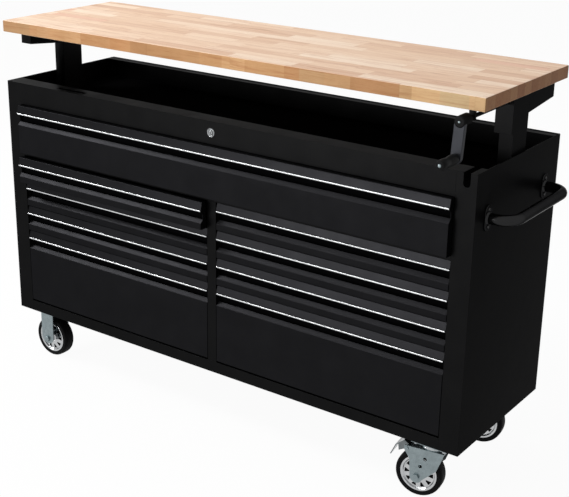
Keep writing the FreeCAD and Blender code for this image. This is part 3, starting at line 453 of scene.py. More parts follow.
@dataclass(frozen=True)
class ButcherBlock:
    """Oiled beech staves glued side by side and end to end."""

    name: str = "oiled_beech"
    stave_width: float = 0.0383
    stave_length: float = 0.24
    centre: Pair = (-0.03575, 0.066)
    half: Pair = (0.7792, 0.2292)
    tones: Stops = (
        (0.0, (0.76, 0.515, 0.362)), (0.35, (0.85, 0.620, 0.450)), (0.7, (0.91, 0.700, 0.532)),
        (1.0, (0.96, 0.788, 0.630)),
    )
    figure: Stops = (
        (0.30, (0.66, 0.50, 0.42)), (0.43, (0.90, 0.82, 0.77)), (0.55, (1.0, 1.0, 1.0)),
        (0.72, (0.86, 0.74, 0.65)),
    )
    fleck: Stops = ((0.30, (0.78, 0.68, 0.60)), (0.42, (1.0, 1.0, 1.0)))
    rare_tint: Triple = (0.80, 0.56, 0.48)
    joint_tint: Triple = (0.45, 0.28, 0.16)
    figure_share: float = 0.8
    fleck_share: float = 0.4
    rare_share: float = 0.7
    joint_share: float = 0.3
    edge_dark: Triple = (0.55, 0.46, 0.31)
    edge_light: Triple = (0.76, 0.65, 0.50)
    edge_scale: float = 11.0
    edge_block: float = 0.105
    edge_sway: Pair = (2.1, 0.3)
    edge_tints: Stops = (
        (0.0, (0.80, 0.72, 0.62)), (0.35, (0.97, 0.88, 0.74)), (0.7, (1.0, 0.98, 0.92)),
        (1.0, (0.86, 0.92, 0.88)),
    )
    # Painted shade: the front and back edges darken towards the worktop's left end.
    left_end_shade: Triple = (0.66, 0.55, 0.50)
    left_shade_span: Pair = (-0.81, 0.1)
    left_shade_share: float = 0.9
    # Darker end grain, deepened with painted shade on both ends.
    end_grain_and_shade: Triple = (0.345, 0.22, 0.125)
    rough: Pair = (0.42, 0.56)
    specular: float = 0.12

    def make(self, groups: EffectGroups) -> Surface:
        """Build the material.

        Args:
            groups: Shared shader groups.

        Returns:
            Its graph.
        """
        graph = Surface(self.name)
        staves = graph.add(
            "Group", node_tree=groups.staves, Width=self.stave_width, Length=self.stave_length,
        ).outputs
        x, y, _ = graph.add("SeparateXYZ", in0=graph.place()).outputs
        end, side = (
            self._beyond(graph, value, centre, half)
            for value, centre, half in zip((x, y), self.centre, self.half)
        )
        drift = graph.add(
            "Group", node_tree=groups.mottle, Scale=self.edge_scale, First=self.edge_dark,
            Second=self.edge_light,
        ).outputs
        rate, sway = self.edge_sway
        run = graph.maths("DIVIDE", x, self.edge_block)
        run = graph.maths("MULTIPLY_ADD", graph.maths("SINE", graph.maths("MULTIPLY", run, rate)), sway, run)
        strip = graph.add("TexWhiteNoise", noise_dimensions="1D", W=graph.maths("FLOOR", run)).outputs
        start, stop = self.left_shade_span
        left_shade_mask = graph.add("MapRange", in0=x, in1=start, in2=stop, in3=self.left_shade_share, in4=0.0)
        colour = graph.ramp(staves["Tone"], self.tones)
        for tint, amount in (
            (graph.ramp(staves["Figure"], self.figure), self.figure_share),
            (graph.ramp(staves["Fleck"], self.fleck), self.fleck_share),
            (self.rare_tint, graph.maths("MULTIPLY", staves["Rare"], self.rare_share)),
            (self.joint_tint, graph.maths("MULTIPLY", staves["Joint"], self.joint_share)),
            (drift["Color"], side),
            (graph.ramp(strip["Value"], self.edge_tints), side),
            # painted shade towards the left end of the edges
            (self.left_end_shade, graph.maths("MULTIPLY", left_shade_mask.outputs[0], side)),
            # end grain and painted shade on the ends
            (self.end_grain_and_shade, end),
        ):
            mix = graph.add("Mix", data_type="RGBA", blend_type="MULTIPLY", in0=amount, in6=colour, in7=tint)
            colour = mix.outputs[2]
        sheen = graph.add("MapRange", in0=staves["Figure"], in3=self.rough[0], in4=self.rough[1])
        graph.feed(
            graph.shader, Base_Color=colour, Roughness=sheen.outputs[0], Specular_IOR_Level=self.specular,
            Normal=graph.bump(staves["Fleck"], Distance=0.0004, Strength=0.25),
        )
        return graph

    @staticmethod
    def _beyond(graph: Graph, value: Socket, centre: float, half: float) -> Socket:
        """Mask of the places further than a half size from a centre."""
        away = graph.maths("ABSOLUTE", graph.maths("SUBTRACT", value, centre))
        return graph.maths("GREATER_THAN", away, half)


class Finishes:
    """Every finish of the chest by its slot or special use."""

    table = {
        Slot.BODY: Paint(
            "black_powder_coat", (0.0070, 0.0070, 0.0072), (0.0092, 0.0092, 0.0094), (0.32, 0.40),
        ),
        Slot.DRAWER: Paint(
            "black_drawer_coat", (0.0085, 0.0085, 0.0093), (0.0114, 0.0114, 0.0124), (0.32, 0.40),
        ),
        Slot.GLOSS: Paint(
            "gloss_black", (0.020, 0.020, 0.0205), (0.026, 0.026, 0.0265), (0.17, 0.24),
            peel_scale=200.0, peel_depth=0.01, metallic=0.9, edge_tint=0.42,
        ),
        Slot.DARK: Paint(
            "dark_grey_steel", (0.028, 0.029, 0.033), (0.042, 0.044, 0.050), (0.3, 0.42),
            peel_scale=260.0, peel_depth=0.05, metallic=0.6, specular=0.1, edge_tint=0.5,
        ),
        Slot.TRIM: Metal(
            "brushed_trim", (0.52, 0.53, 0.54), (0.68, 0.69, 0.70), (0.22, 0.34), 40.0,
            stretch=(0.02, 1.0, 1.0), grain_scale=1500.0, grain_depth=0.10,
        ),
        Slot.LOCK: Metal(
            "lock_chrome", (0.26, 0.27, 0.275), (0.36, 0.37, 0.38), (0.12, 0.22),
            grain_scale=900.0, grain_depth=0.02,
        ),
        Slot.ZINC: Metal(
            "blue_zinc", (0.170, 0.203, 0.213), (0.27, 0.318, 0.33), (0.32, 0.44), 90.0,
            stretch=(1.0, 1.0, 0.2), grain_scale=500.0, grain_depth=0.06,
        ),
        Slot.WHEEL: Metal(
            "stamped_wheel_zinc", (0.36, 0.37, 0.375), (0.60, 0.61, 0.62), (0.10, 0.2), 120.0,
            grain_scale=800.0,
        ),
        Slot.STEEL: Metal(
            "rolled_steel", (0.36, 0.37, 0.39), (0.52, 0.53, 0.54), (0.28, 0.4),
            stretch=(0.3, 0.05, 0.3), grain_scale=900.0,
        ),
        Slot.TYRE: Rubber(
            "tyre_rubber", (0.0035, 0.0035, 0.0037), (0.006, 0.006, 0.0063), (0.5, 0.62), specular=0.035,
        ),
        Slot.GRIP: Rubber(
            "grip_plastic", (0.006, 0.006, 0.0062), (0.010, 0.010, 0.0102), (0.42, 0.52), specular=0.03,
        ),
        Slot.WOOD: ButcherBlock(),
        # Painted shade for the finger recesses and the inside of the body: a very dark, dull coat.
        Special.RECESS: Paint(
            "thin_recess_coat", (0.0016, 0.0016, 0.0018), (0.0030, 0.0030, 0.0033), (0.6, 0.75),
            peel_scale=300.0, peel_depth=0.08, metallic=0.0, edge_tint=0.0,
        ),
        # Same zinc as the forks, darkened with painted shade and made glossier.
        Special.PEDAL: Metal(
            "pedal_zinc_shade", (0.09, 0.10, 0.105), (0.21, 0.23, 0.235), (0.14, 0.24), 90.0,
            stretch=(1.0, 1.0, 0.2), grain_scale=500.0, grain_depth=0.06,
        ),
        Special.SCREW: Paint(
            "black_screw", (0.036, 0.036, 0.0365), (0.055, 0.055, 0.056), (0.12, 0.2),
            peel_scale=300.0, peel_depth=0.02, metallic=0.9,
        ),
    }

    def __init__(self) -> None:
        """Make the groups and the materials."""
        groups = EffectGroups()
        self.made = {key: finish.make(groups).material for key, finish in self.table.items()}

    def dress(self, piece: Piece, key: Slot | Special) -> None:
        """Give a piece the finish of its slot or its special one."""
        piece.data.materials.clear()
        piece.data.materials.append(self.made[key])


def clear() -> None:
    """Leave edit mode and deselect everything."""
    if bpy.context.object and bpy.context.object.mode != "OBJECT":
        bpy.ops.object.mode_set(mode="OBJECT")
    bpy.ops.object.select_all(action="DESELECT")


def pick(piece: Piece) -> None:
    """Select one object and make it active.

    Args:
        piece: The object.
    """
    clear()
    piece.select_set(True)
    bpy.context.view_layer.objects.active = piece


def edit(piece: Piece) -> None:
    """Open a piece in edit mode with all of it selected.

    Args:
        piece: The piece.
    """
    pick(piece)
    bpy.ops.object.mode_set(mode="EDIT")
    bpy.ops.mesh.select_all(action="SELECT")


def apply(piece: Piece, kind: str, **options: object) -> None:
    """Add a modifier and apply it.

    Args:
        piece: Object that is changed.
        kind: Modifier type.
        **options: Its settings.
    """
    pick(piece)
    modifier = piece.modifiers.new(kind.lower(), kind)
    for name, value in options.items():
        setattr(modifier, name, value)
    bpy.ops.object.modifier_apply(modifier=modifier.name)


def select_folds(piece: Piece, places: list[Pair]) -> None:
    """Select in edit mode the edges that run along X.

    Args:
        piece: Object in edit mode.
        places: Where such edges are, as Y and Z.
    """
    bpy.ops.mesh.select_mode(type="EDGE")
    mesh = bmesh.from_edit_mesh(piece.data)
    for face in mesh.faces:
        face.select = False
    for edge in mesh.edges:
        edge.select = all(
            any(math.dist(vert.co.yz, place) < NEAR for place in places) for vert in edge.verts
        )
    bmesh.update_edit_mesh(piece.data)


def push(x: float = 0.0, y: float = 0.0, z: float = 0.0) -> None:
    """Extrude the selected edges by a step."""
    bpy.ops.mesh.extrude_edges_move(TRANSFORM_OT_translate={"value": (x, y, z)})


def clean() -> None:
    """Merge doubles and turn every face outwards, in edit mode."""
    bpy.ops.mesh.select_all(action="SELECT")
    bpy.ops.mesh.remove_doubles(threshold=MERGE)
    bpy.ops.mesh.normals_make_consistent(inside=False)


def outward(piece: Piece) -> None:
    """Merge a piece's doubles, turn its faces outwards and leave edit mode.

    Args:
        piece: The piece.
    """
    edit(piece)
    clean()
    bpy.ops.object.mode_set(mode="OBJECT")


def soften(piece: Piece, width: float, segments: int = 2, angle: float = 40.0) -> None:
    """Round the sharp edges of a piece.

    Args:
        piece: The piece.
        width: How far an edge is rounded.
        segments: Steps of the rounding.
        angle: Smallest angle of a rounded edge, in degrees.
    """
    apply(
        piece, "BEVEL", width=width, segments=segments, limit_method="ANGLE",
        angle_limit=math.radians(angle), use_clamp_overlap=True, miter_outer="MITER_ARC",
    )


def sheet(
    path: list[Pair], axis: Axis, start: float, end: float, thickness: float, bend: float,
    left: bool = True,
) -> Piece:
    """Sheet folded along a path, by extruding an edge from line to line.

    Args:
        path: Corners of the outer face across the axis.
        axis: Direction of the folds.
        start: First end along the axis.
        end: Other end.
        thickness: Sheet thickness.
        bend: Rounding of each fold.
        left: Whether the sheet lies on the path's left.

    Returns:
        The sheet.
    """
    points = [(v, u) for u, v in path] if axis is Axis.Y else list(path)
    left = left != (axis is Axis.Y)
    (u0, v0), (u1, v1) = points[:2]
    middle = ((u0 + u1) / 2, (v0 + v1) / 2)
    clear()
    bpy.ops.mesh.primitive_plane_add(
        size=1, location=((start + end) / 2, *middle), rotation=(math.atan2(v1 - v0, u1 - u0), 0, 0),
    )
    piece = bpy.context.object
    piece.scale = (end - start, math.dist(points[0], points[1]), 1)
    bpy.ops.object.transform_apply(location=True, rotation=True, scale=True)
    edit(piece)
    select_folds(piece, points[1:2])
    for first, second in zip(points[1:], points[2:]):
        push(0.0, second[0] - first[0], second[1] - first[1])
    select_folds(piece, points[1:-1])
    bpy.ops.mesh.bevel(offset=bend, segments=3, affect="EDGES", clamp_overlap=True)
    clean()
    faces = bmesh.from_edit_mesh(piece.data).faces
    first_face = min(faces, key=lambda face: math.dist(face.calc_center_median().yz, middle))
    to_left = Vector((0, v0 - v1, u1 - u0))
    if (first_face.normal.dot(to_left) > 0) == left:
        bpy.ops.mesh.flip_normals()
    bpy.ops.object.mode_set(mode="OBJECT")
    apply(piece, "SOLIDIFY", thickness=thickness, offset=-1.0, use_even_offset=True)
    piece.data.transform(axis.turn())
    return piece


def plate(
    outline: list[Pair], axis: Axis, start: float, end: float, corner: float = 0.0,
    edge: float = 0.3, corner_steps: int = 4, edge_steps: int = 2,
) -> Piece:
    """Plate from an outline: corners rounded, face extruded, edges softened.

    Args:
        outline: Corners across the axis.
        axis: Direction of the thickness.
        start: First face along the axis.
        end: Other face.
        corner: Rounding of the corners.
        edge: Rounding of the edges.
        corner_steps: Steps of the corners' rounding.
        edge_steps: Steps of the edges' rounding.

    Returns:
        The plate.
    """
    points = [(v, u) for u, v in outline] if axis is Axis.Y else list(outline)
    clear()
    bpy.ops.mesh.primitive_circle_add(vertices=len(points), radius=1, fill_type="NGON")
    piece = bpy.context.object
    for vert, (u, v) in zip(piece.data.vertices, points):
        vert.co = (start, u, v)
    edit(piece)
    if corner:
        bpy.ops.mesh.bevel(offset=corner, segments=corner_steps, affect="VERTICES", clamp_overlap=True)
        bpy.ops.mesh.select_all(action="SELECT")
    bpy.ops.mesh.extrude_region_move(TRANSFORM_OT_translate={"value": (end - start, 0, 0)})
    outward(piece)
    if edge:
        soften(piece, edge, edge_steps)
    piece.data.transform(axis.turn())
    return piece


def ring(radius: float, steps: int, place: Triple) -> Piece:
    """Open ring across X.

    Args:
        radius: Its radius.
        steps: Its corners.
        place: Its centre.

    Returns:
        The ring, in edit mode with all of it selected.
    """
    clear()
    bpy.ops.mesh.primitive_circle_add(vertices=steps, radius=radius, fill_type="NOTHING")
    piece = bpy.context.object
    piece.data.transform(Matrix.Rotation(math.pi / 2, 4, "Y"))
    piece.data.transform(Matrix.Translation(place))
    edit(piece)
    return piece


def lathe(
    profile: Profile, axis: Axis, centre: Triple = ORIGIN, steps: int = 48, closed: bool = False,
) -> Piece:
    """Round piece, by extruding and scaling a ring along its axis.

    Args:
        profile: Radius and place along the axis of each ring.
        axis: Direction of the turning axis.
        centre: Point that the places are counted from.
        steps: Corners of a ring.
        closed: Whether the last ring joins the first, as round a bore.

    Returns:
        The piece.
    """
    rings = [*profile, profile[0]] if closed else list(profile)
    piece = ring(rings[0][0], steps, (rings[0][1], 0, 0))
    if not closed:
        bpy.ops.mesh.edge_face_add()
    for (radius, along), (new_radius, new_along) in zip(rings, rings[1:]):
        push(new_along - along)
        ratio = new_radius / radius
        bpy.ops.transform.resize(value=(1, ratio, ratio), center_override=(new_along, 0, 0))
    if not closed:
        bpy.ops.mesh.edge_face_add()
    outward(piece)
    piece.data.transform(axis.turn())
    piece.data.transform(Matrix.Translation(centre))
    return piece


def join(pieces: list[Piece]) -> Piece:
    """Join pieces into the first one.

    Args:
        pieces: Pieces that are joined.

    Returns:
        The first piece, with all of them.
    """
    clear()
    for piece in pieces:
        piece.select_set(True)
    bpy.context.view_layer.objects.active = pieces[0]
    if len(pieces) > 1:
        bpy.ops.object.join()
    return bpy.context.view_layer.objects.active


def cut(piece: Piece, cutters: list[Piece]) -> Piece:
    """Take cutters out of a piece and remove them.

    Args:
        piece: Piece that is cut.
        cutters: Pieces that are taken out of it.

    Returns:
        The cut piece.
    """
    cutter = join(cutters)
    apply(piece, "BOOLEAN", object=cutter, operation="DIFFERENCE", solver="EXACT")
    bpy.data.objects.remove(cutter)
    return piece


def copy(piece: Piece, place: Matrix) -> Piece:
    """Second piece with a mesh of its own.

    Args:
        piece: Piece that is copied.
        place: Where the copy goes, in drawing millimetres.

    Returns:
        The copy.
    """
    twin = piece.copy()
    twin.data = piece.data.copy()
    bpy.context.scene.collection.objects.link(twin)
    twin.data.transform(place)
    return twin


class Bench:
    """Place that finished pieces leave from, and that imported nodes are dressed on."""

    def __init__(self, finishes: Finishes, nodes: dict[str, Piece]) -> None:
        """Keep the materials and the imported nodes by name."""
        self.finishes = finishes
        self.nodes = nodes

    def softened_node(self, node: str, width: float, segments: int = 2) -> Piece:
        """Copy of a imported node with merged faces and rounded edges, in drawing millimetres.

        Args:
            node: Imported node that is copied.
            width: How far the edges are rounded.
            segments: Steps of the rounding.

        Returns:
            The copy.
        """
        piece = copy(self.nodes[node], Matrix.Translation(DRAWING_ORIGIN) @ Matrix.Scale(1 / MM, 4))
        piece.parent = None
        for key in list(piece.keys()):
            del piece[key]
        edit(piece)
        bpy.ops.mesh.remove_doubles(threshold=NODE_MERGE)
        bpy.ops.mesh.dissolve_limited(angle_limit=math.radians(FLAT))
        bpy.ops.object.mode_set(mode="OBJECT")
        soften(piece, width, segments)
        return piece

    def deliver(
        self, piece: Piece, name: str, body: str, slot: Slot, replaced: tuple[str, ...] = (),
        smooth: float = 38.0, special: Special | None = None, back: float = 0.0,
    ) -> None:
        """Name, place, shade, dress and attach a finished piece.

        Args:
            piece: Piece in drawing millimetres.
            name: Its name.
            body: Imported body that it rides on.
            slot: Its finish.
            replaced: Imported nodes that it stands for.
            smooth: Largest edge angle that is shaded smooth, in degrees.
            special: Finish in place of the slot's usual one.
            back: How far it is moved back first.
        """
        piece.name = name
        piece.data.name = name
        piece.data.transform(Matrix.Translation((0, back, 0)))
        piece.data.transform(Matrix.Scale(MM, 4) @ Matrix.Translation(-DRAWING_ORIGIN))
        pick(piece)
        bpy.ops.object.shade_smooth_by_angle(angle=math.radians(smooth))
        apply(piece, "WEIGHTED_NORMAL", keep_sharp=True)
        self.finishes.dress(piece, special or slot)
        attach(piece, body)
        if replaced:
            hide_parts(*replaced)
        LOG.info("%s on %s: %d faces", name, body, len(piece.data.polygons))

    def dress_node(
        self, node: str, body: str, slot: Slot, width: float, segments: int = 2, name: str = "",
        **finish: object,
    ) -> None:
        """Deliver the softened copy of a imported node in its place, under its own name or a given one."""
        piece = self.softened_node(node, width, segments)
        self.deliver(piece, name or f"{node}_dressed", body, slot, (node,), **finish)


@dataclass
class Cabinet:
    """Steel body: sides, base, frame, apron, floor and fixed columns."""

    bench: Bench
    softening: tuple[tuple[str, float], ...] = (
        ("cabinet_shell", 0.55), ("base_pan", 0.8), ("front_frame", 0.55), ("inner_panels", 0.4),
        ("top_apron", 0.55), ("compartment_floor", 0.5), ("outer_columns", 0.8),
    )
    # Nodes inside the body that take the painted-shade coat.
    inner: tuple[str, ...] = ("compartment_floor", "inner_panels")
    width: float = 1549.0
    height: float = 727.0
    sheet: float = 1.2
    lip_front: float = 427.0
    lip_back: float = 445.5
    lip_drop: float = 0.05

    def build(self) -> None:
        """Make every part of the body."""
        for node, width in self.softening:
            special = Special.RECESS if node in self.inner else None
            self.bench.dress_node(node, "cabinet", Slot.BODY, width, special=special)
        self._back_lip()

    def _back_lip(self) -> None:
        """Stiffening lip along the back flange, whose pale edge shows under the worktop."""
        outline = rectangle(
            (self.lip_front, self.height - self.sheet), (self.lip_back, self.height - self.lip_drop),
        )
        lip = plate(outline, Axis.X, self.sheet, self.width - self.sheet, edge=0.4)
        self.bench.deliver(lip, "back_flange_lip", "cabinet", Slot.BODY)


@dataclass
class Drawer:
    """One drawer: folded front, tray, trim and the moving members of its slides."""

    bench: Bench
    name: str
    front: Pair
    bay: Pair
    bottom: float
    height: float
    opened: float = 0.0
    gap: float = 1.0
    sheet: float = 1.2
    depth: float = 20.0
    pull_bend: float = 1.5
    face_bend: float = 1.0
    visor_back: float = 5.0
    lip_back: float = 4.0
    strip_drop: float = 23.5
    strip_half: float = 2.5
    bevel_back: float = 9.5
    bevel_top: float = 25.5
    bevel_bottom: float = 35.0
    crown: Triple = (6.5, 4.9, 1.6)
    throat: Pair = (9.0, 10.5)
    fold_corner: Pair = (0.5, 0.7)
    recess_top: float = 1.5
    recess_bottom: float = 28.0
    trim_half: float = 1.75
    trim_proud: float = 2.0
    tray_sheet: float = 1.0
    tray_bend: float = 1.4
    tray_rise: float = 4.0
    tray_drop: float = 13.0
    tray_ends: Pair = (21.2, 431.8)
    tray_lip: float = 5.0
    slide_rise: float = 34.0
    slide_ends: Pair = (28.0, 427.8)
    slide_width: float = 12.7
    slide_bend: float = 1.0
    runner: Channels = (19.5, ((12.7, 6.65),))
    middle: Channels = (21.0, ((5.15, 10.9), (6.35, 1.5)))
    fixed: Channels = (22.5, ((0.0, 10.0),))

    def build(self) -> None:
        """Make the pieces of the drawer and the middle members of its slides."""
        unit, middle = ("drawer_unit", self.opened), ("middle_unit", self.opened / 2)
        for piece, label, (body, opened), slot, replaced, special in (
            (self._front(), "drawer_front", unit, Slot.DRAWER, "drawer", None),
            (self._tray(), "drawer_tray", unit, Slot.DRAWER, None, None),
            (self._recess(), "finger_recess", unit, Slot.DRAWER, None, Special.RECESS),
            (self._trim(), "trim", unit, Slot.TRIM, "pull_trim", None),
            (self._members(*self.runner), "drawer_runners", unit, Slot.STEEL, None, None),
            (self._members(*self.middle), "middle_runners", middle, Slot.STEEL, "slide_middle", None),
        ):
            self.bench.deliver(
                piece, f"{label}_{self.name}", f"{body}_{self.name}", slot,
                (f"{replaced}_{self.name}",) if replaced else (), special=special, back=-opened,
            )

    def _front(self) -> Piece:
        """Folded front: sloped pull, bevel, face and end caps.

        Returns:
            The front.
        """
        left, right = self.front[0] + self.gap, self.front[1] - self.gap
        bottom, top = self.bottom, self.bottom + self.height
        strip = top - self.strip_drop
        high, low = strip + self.strip_half, strip - self.strip_half
        fold = strip - self.bevel_bottom
        bevel = (self.bevel_back, strip - self.bevel_top)
        back = self.depth + self.sheet
        pull = sheet(
            [(self.depth, top), (self.visor_back, top), (0.0, high), (0.0, low), (self.lip_back, low)],
            Axis.X, left, right, self.sheet, self.pull_bend,
        )
        face = sheet(
            [bevel, (0.0, fold), (0.0, bottom), (self.depth, bottom)],
            Axis.X, left, right, self.sheet, self.face_bend,
        )
        crown_back, crown_front, crown_drop = self.crown
        throat, throat_drop = self.throat
        above, below = self.fold_corner
        end = [
            (back, top), (crown_back, top), (crown_front, top - crown_drop), (0.0, high), (0.0, low),
            (throat, strip - throat_drop), bevel, (above, fold + above), (0.0, fold - below),
            (0.0, bottom), (back, bottom),
        ]
        caps = [
            plate(end, Axis.X, start, start + self.sheet, edge=0.25)
            for start in (left, right - self.sheet)
        ]
        return join([pull, face, *caps])

    def _recess(self) -> Piece:
        """Back wall of the finger recess, darkened with painted shade.

        Returns:
            The wall.
        """
        top = self.bottom + self.height
        strip = top - self.strip_drop
        inset = self.gap + self.sheet
        path = [
            (self.depth, top - self.recess_top), (self.depth, strip - self.recess_bottom),
            (self.bevel_back, strip - self.bevel_top),
        ]
        left, right = self.front[0] + inset, self.front[1] - inset
        return sheet(path, Axis.X, left, right, self.sheet, self.face_bend)

    def _tray(self) -> Piece:
        """Open tray with rolled top edges.

        Returns:
            The tray.
        """
        left, right = self.bay[0] + self.slide_width, self.bay[1] - self.slide_width
        floor, top = self.bottom + self.tray_rise, self.bottom + self.height - self.tray_drop
        trough = sheet(
            [(left + self.tray_lip, top), (left, top), (left, floor), (right, floor), (right, top),
             (right - self.tray_lip, top)],
            Axis.Y, *self.tray_ends, self.tray_sheet, self.tray_bend,
        )
        wall = rectangle((left + self.tray_sheet, floor + self.tray_sheet), (right - self.tray_sheet, top))
        ends = [
            plate(wall, Axis.Y, start, start + self.tray_sheet, edge=0.2)
            for start in (self.tray_ends[1] - self.tray_sheet, self.tray_ends[0])
        ]
        return join([trough, *ends])

    def _trim(self) -> Piece:
        """Bright strip along the lip of the pull.

        Returns:
            The strip.
        """
        strip = self.bottom + self.height - self.strip_drop
        section = rectangle((-self.trim_proud, strip - self.trim_half), (0.0, strip + self.trim_half))
        inset = 2 * self.gap
        return plate(
            section, Axis.X, self.front[0] + inset, self.front[1] - inset, edge=0.8, edge_steps=3,
        )

    def fixed_members(self) -> Piece:
        """Members of both slides that the cabinet holds."""
        return self._members(*self.fixed)

    def _members(self, half: float, channels: Profile) -> Piece:
        """Folded channels of both slides.

        Args:
            half: Half of a channel's height.
            channels: How far the web and the lips of each channel are from the wall.

        Returns:
            The channels.
        """
        members = []
        low, high = self.bottom + self.slide_rise - half, self.bottom + self.slide_rise + half
        for wall, inward in zip(self.bay, (1, -1)):
            for web, lips in channels:
                back, edge = wall + inward * web, wall + inward * lips
                members.append(sheet(
                    [(edge, high), (back, high), (back, low), (edge, low)], Axis.Y, *self.slide_ends,
                    self.sheet, self.slide_bend, (inward > 0) == (lips > web),
                ))
        return join(members)


@dataclass
class Drawers:
    """Nine drawers in their bays, and the fixed members of their slides."""

    bench: Bench
    post: float = 55.0
    width: float = 1549.0
    lining: float = 1.0
    stile: Pair = (759.5, 789.5)
    # Bottom and height of each row, and how far the top drawer is open.
    top_row: Triple = (518.0, 144.0, 20.0)
    rows: tuple[Pair, ...] = ((427.5, 77.0), (348.0, 77.0), (268.5, 77.0), (38.0, 228.0))
    left_opened: float = 26.0

    def build(self) -> None:
        """Make every drawer from the top down, then the fixed members."""
        left, right = self.post, self.width - self.post
        bay_left, bay_right = left + self.lining, right - self.lining
        drawers = [Drawer(self.bench, "top", (left, right), (bay_left, bay_right), *self.top_row)]
        for side, front, bay in (
            ("left", (left, self.stile[0]), (bay_left, self.stile[0])),
            ("right", (self.stile[1], right), (self.stile[1], bay_right)),
        ):
            for row, (bottom, height) in enumerate(self.rows, start=1):
                opened = self.left_opened if (side, row) == ("left", 1) else 0.0
                drawers.append(Drawer(self.bench, f"{side}_{row}", front, bay, bottom, height, opened))
        for drawer in drawers:
            drawer.build()
        rails = join([drawer.fixed_members() for drawer in drawers])
        self.bench.deliver(rails, "fixed_runners", "cabinet", Slot.STEEL, ("cabinet_slide_rails",))


@dataclass
class Lock:
    """Round lock in the apron: bezel, turning plug and cam."""

    bench: Bench
    x: float = 774.5
    z: float = 696.0
    bezel: Profile = (
        (7.2, 0.6), (7.2, -1.6), (7.8, -2.0), (8.6, -2.0), (9.2, -1.0), (10.4, -1.0), (11.4, -2.0),
        (12.1, -1.7), (12.5, -1.0), (12.5, 0.0), (9.0, 0.0), (9.0, 3.0), (8.8, 3.5), (9.0, 4.0), (9.0, 22.0),
        (6.1, 22.0),
    )
    plug: Profile = ((4.6, -2.8), (5.4, -2.7), (5.9, -2.3), (6.0, -1.8), (6.0, 22.3))
    key_slot: Pair = (0.8, 3.8)
    key_depth: Pair = (-4.0, 1.2)
    cam: Triple = (5.0, 22.0, 5.0)
    cam_faces: Pair = (22.3, 24.8)

    def build(self) -> None:
        """Make the housing and the plug."""
        centre = (self.x, 0, self.z)
        housing = lathe(self.bezel, Axis.Y, centre, 56, closed=True)
        self.bench.deliver(housing, "lock_bezel", "cabinet", Slot.LOCK, ("lock_housing",), smooth=30)
        u, v = self.key_slot
        slot = plate(
            rectangle((self.x - u, self.z - v), (self.x + u, self.z + v)), Axis.Y, *self.key_depth,
            corner=0.5, edge=0,
        )
        plug = cut(lathe(self.plug, Axis.Y, centre), [slot])
        behind, ahead, half = self.cam
        cam = plate(
            rectangle((self.x - behind, self.z - half), (self.x + ahead, self.z + half)),
            Axis.Y, *self.cam_faces, corner=3.0,
        )
        core = join([plug, cam])
        self.bench.deliver(core, "lock_core_turning", "lock_core", Slot.LOCK, ("lock_plug",), smooth=30)


@dataclass
class SideHandle:
    """Push handle: bent tube on two flanges."""

    bench: Bench
    z: float = 606.0
    wall: float = 1549.0
    front: float = 66.0
    span: float = 318.0
    reach: float = 63.5
    bend: float = 45.0
    radius: float = 13.5
    seat: float = 1.0
    flange_radius: float = 17.0
    flange_half: float = 16.0
    flange_thickness: float = 3.0
    collar: Profile = ((17.0, 2.5), (16.6, 3.6), (15.2, 5.0), (14.4, 7.0), (13.6, 7.6))

    def build(self) -> None:
        """Make the tube and its flanges."""
        parts = [self._tube()]
        for y in (self.front, self.front + self.span):
            parts += self._flange(y)
        self.bench.deliver(join(parts), "push_handle", "cabinet", Slot.GLOSS, ("side_handle",), smooth=50)

    def _tube(self) -> Piece:
        """Tube: straight out, round a bend, along, round a bend and back.

        Returns:
            The tube.
        """
        root, straight = self.wall + self.seat, self.wall + self.reach - self.bend
        tube = ring(self.radius, 28, (root, self.front, self.z))
        push(x=straight - root)
        self._bend(straight, self.front + self.bend)
        push(y=self.span - 2 * self.bend)
        self._bend(straight, self.front + self.span - self.bend)
        push(x=root - straight)
        outward(tube)
        return tube

    def _bend(self, x: float, y: float) -> None:
        """Turn the open end of the tube by a quarter about an upright axis."""
        bpy.ops.mesh.spin(steps=12, angle=math.pi / 2, center=(x, y, self.z), axis=(0, 0, -1))

    def _flange(self, y: float) -> list[Piece]:
        """Pressed flange with a raised collar round the tube.

        Args:
            y: Place of the tube's end.

        Returns:
            The flange and the collar.
        """
        ends = (y, self.z + self.flange_half), (y, self.z - self.flange_half)
        outline = capsule(*ends, self.flange_radius, 8)
        end = self.wall + self.flange_thickness
        return [
            plate(outline, Axis.X, self.wall, end, edge=0.9, edge_steps=3),
            lathe(self.collar, Axis.X, (self.wall, y, self.z), 36),
        ]


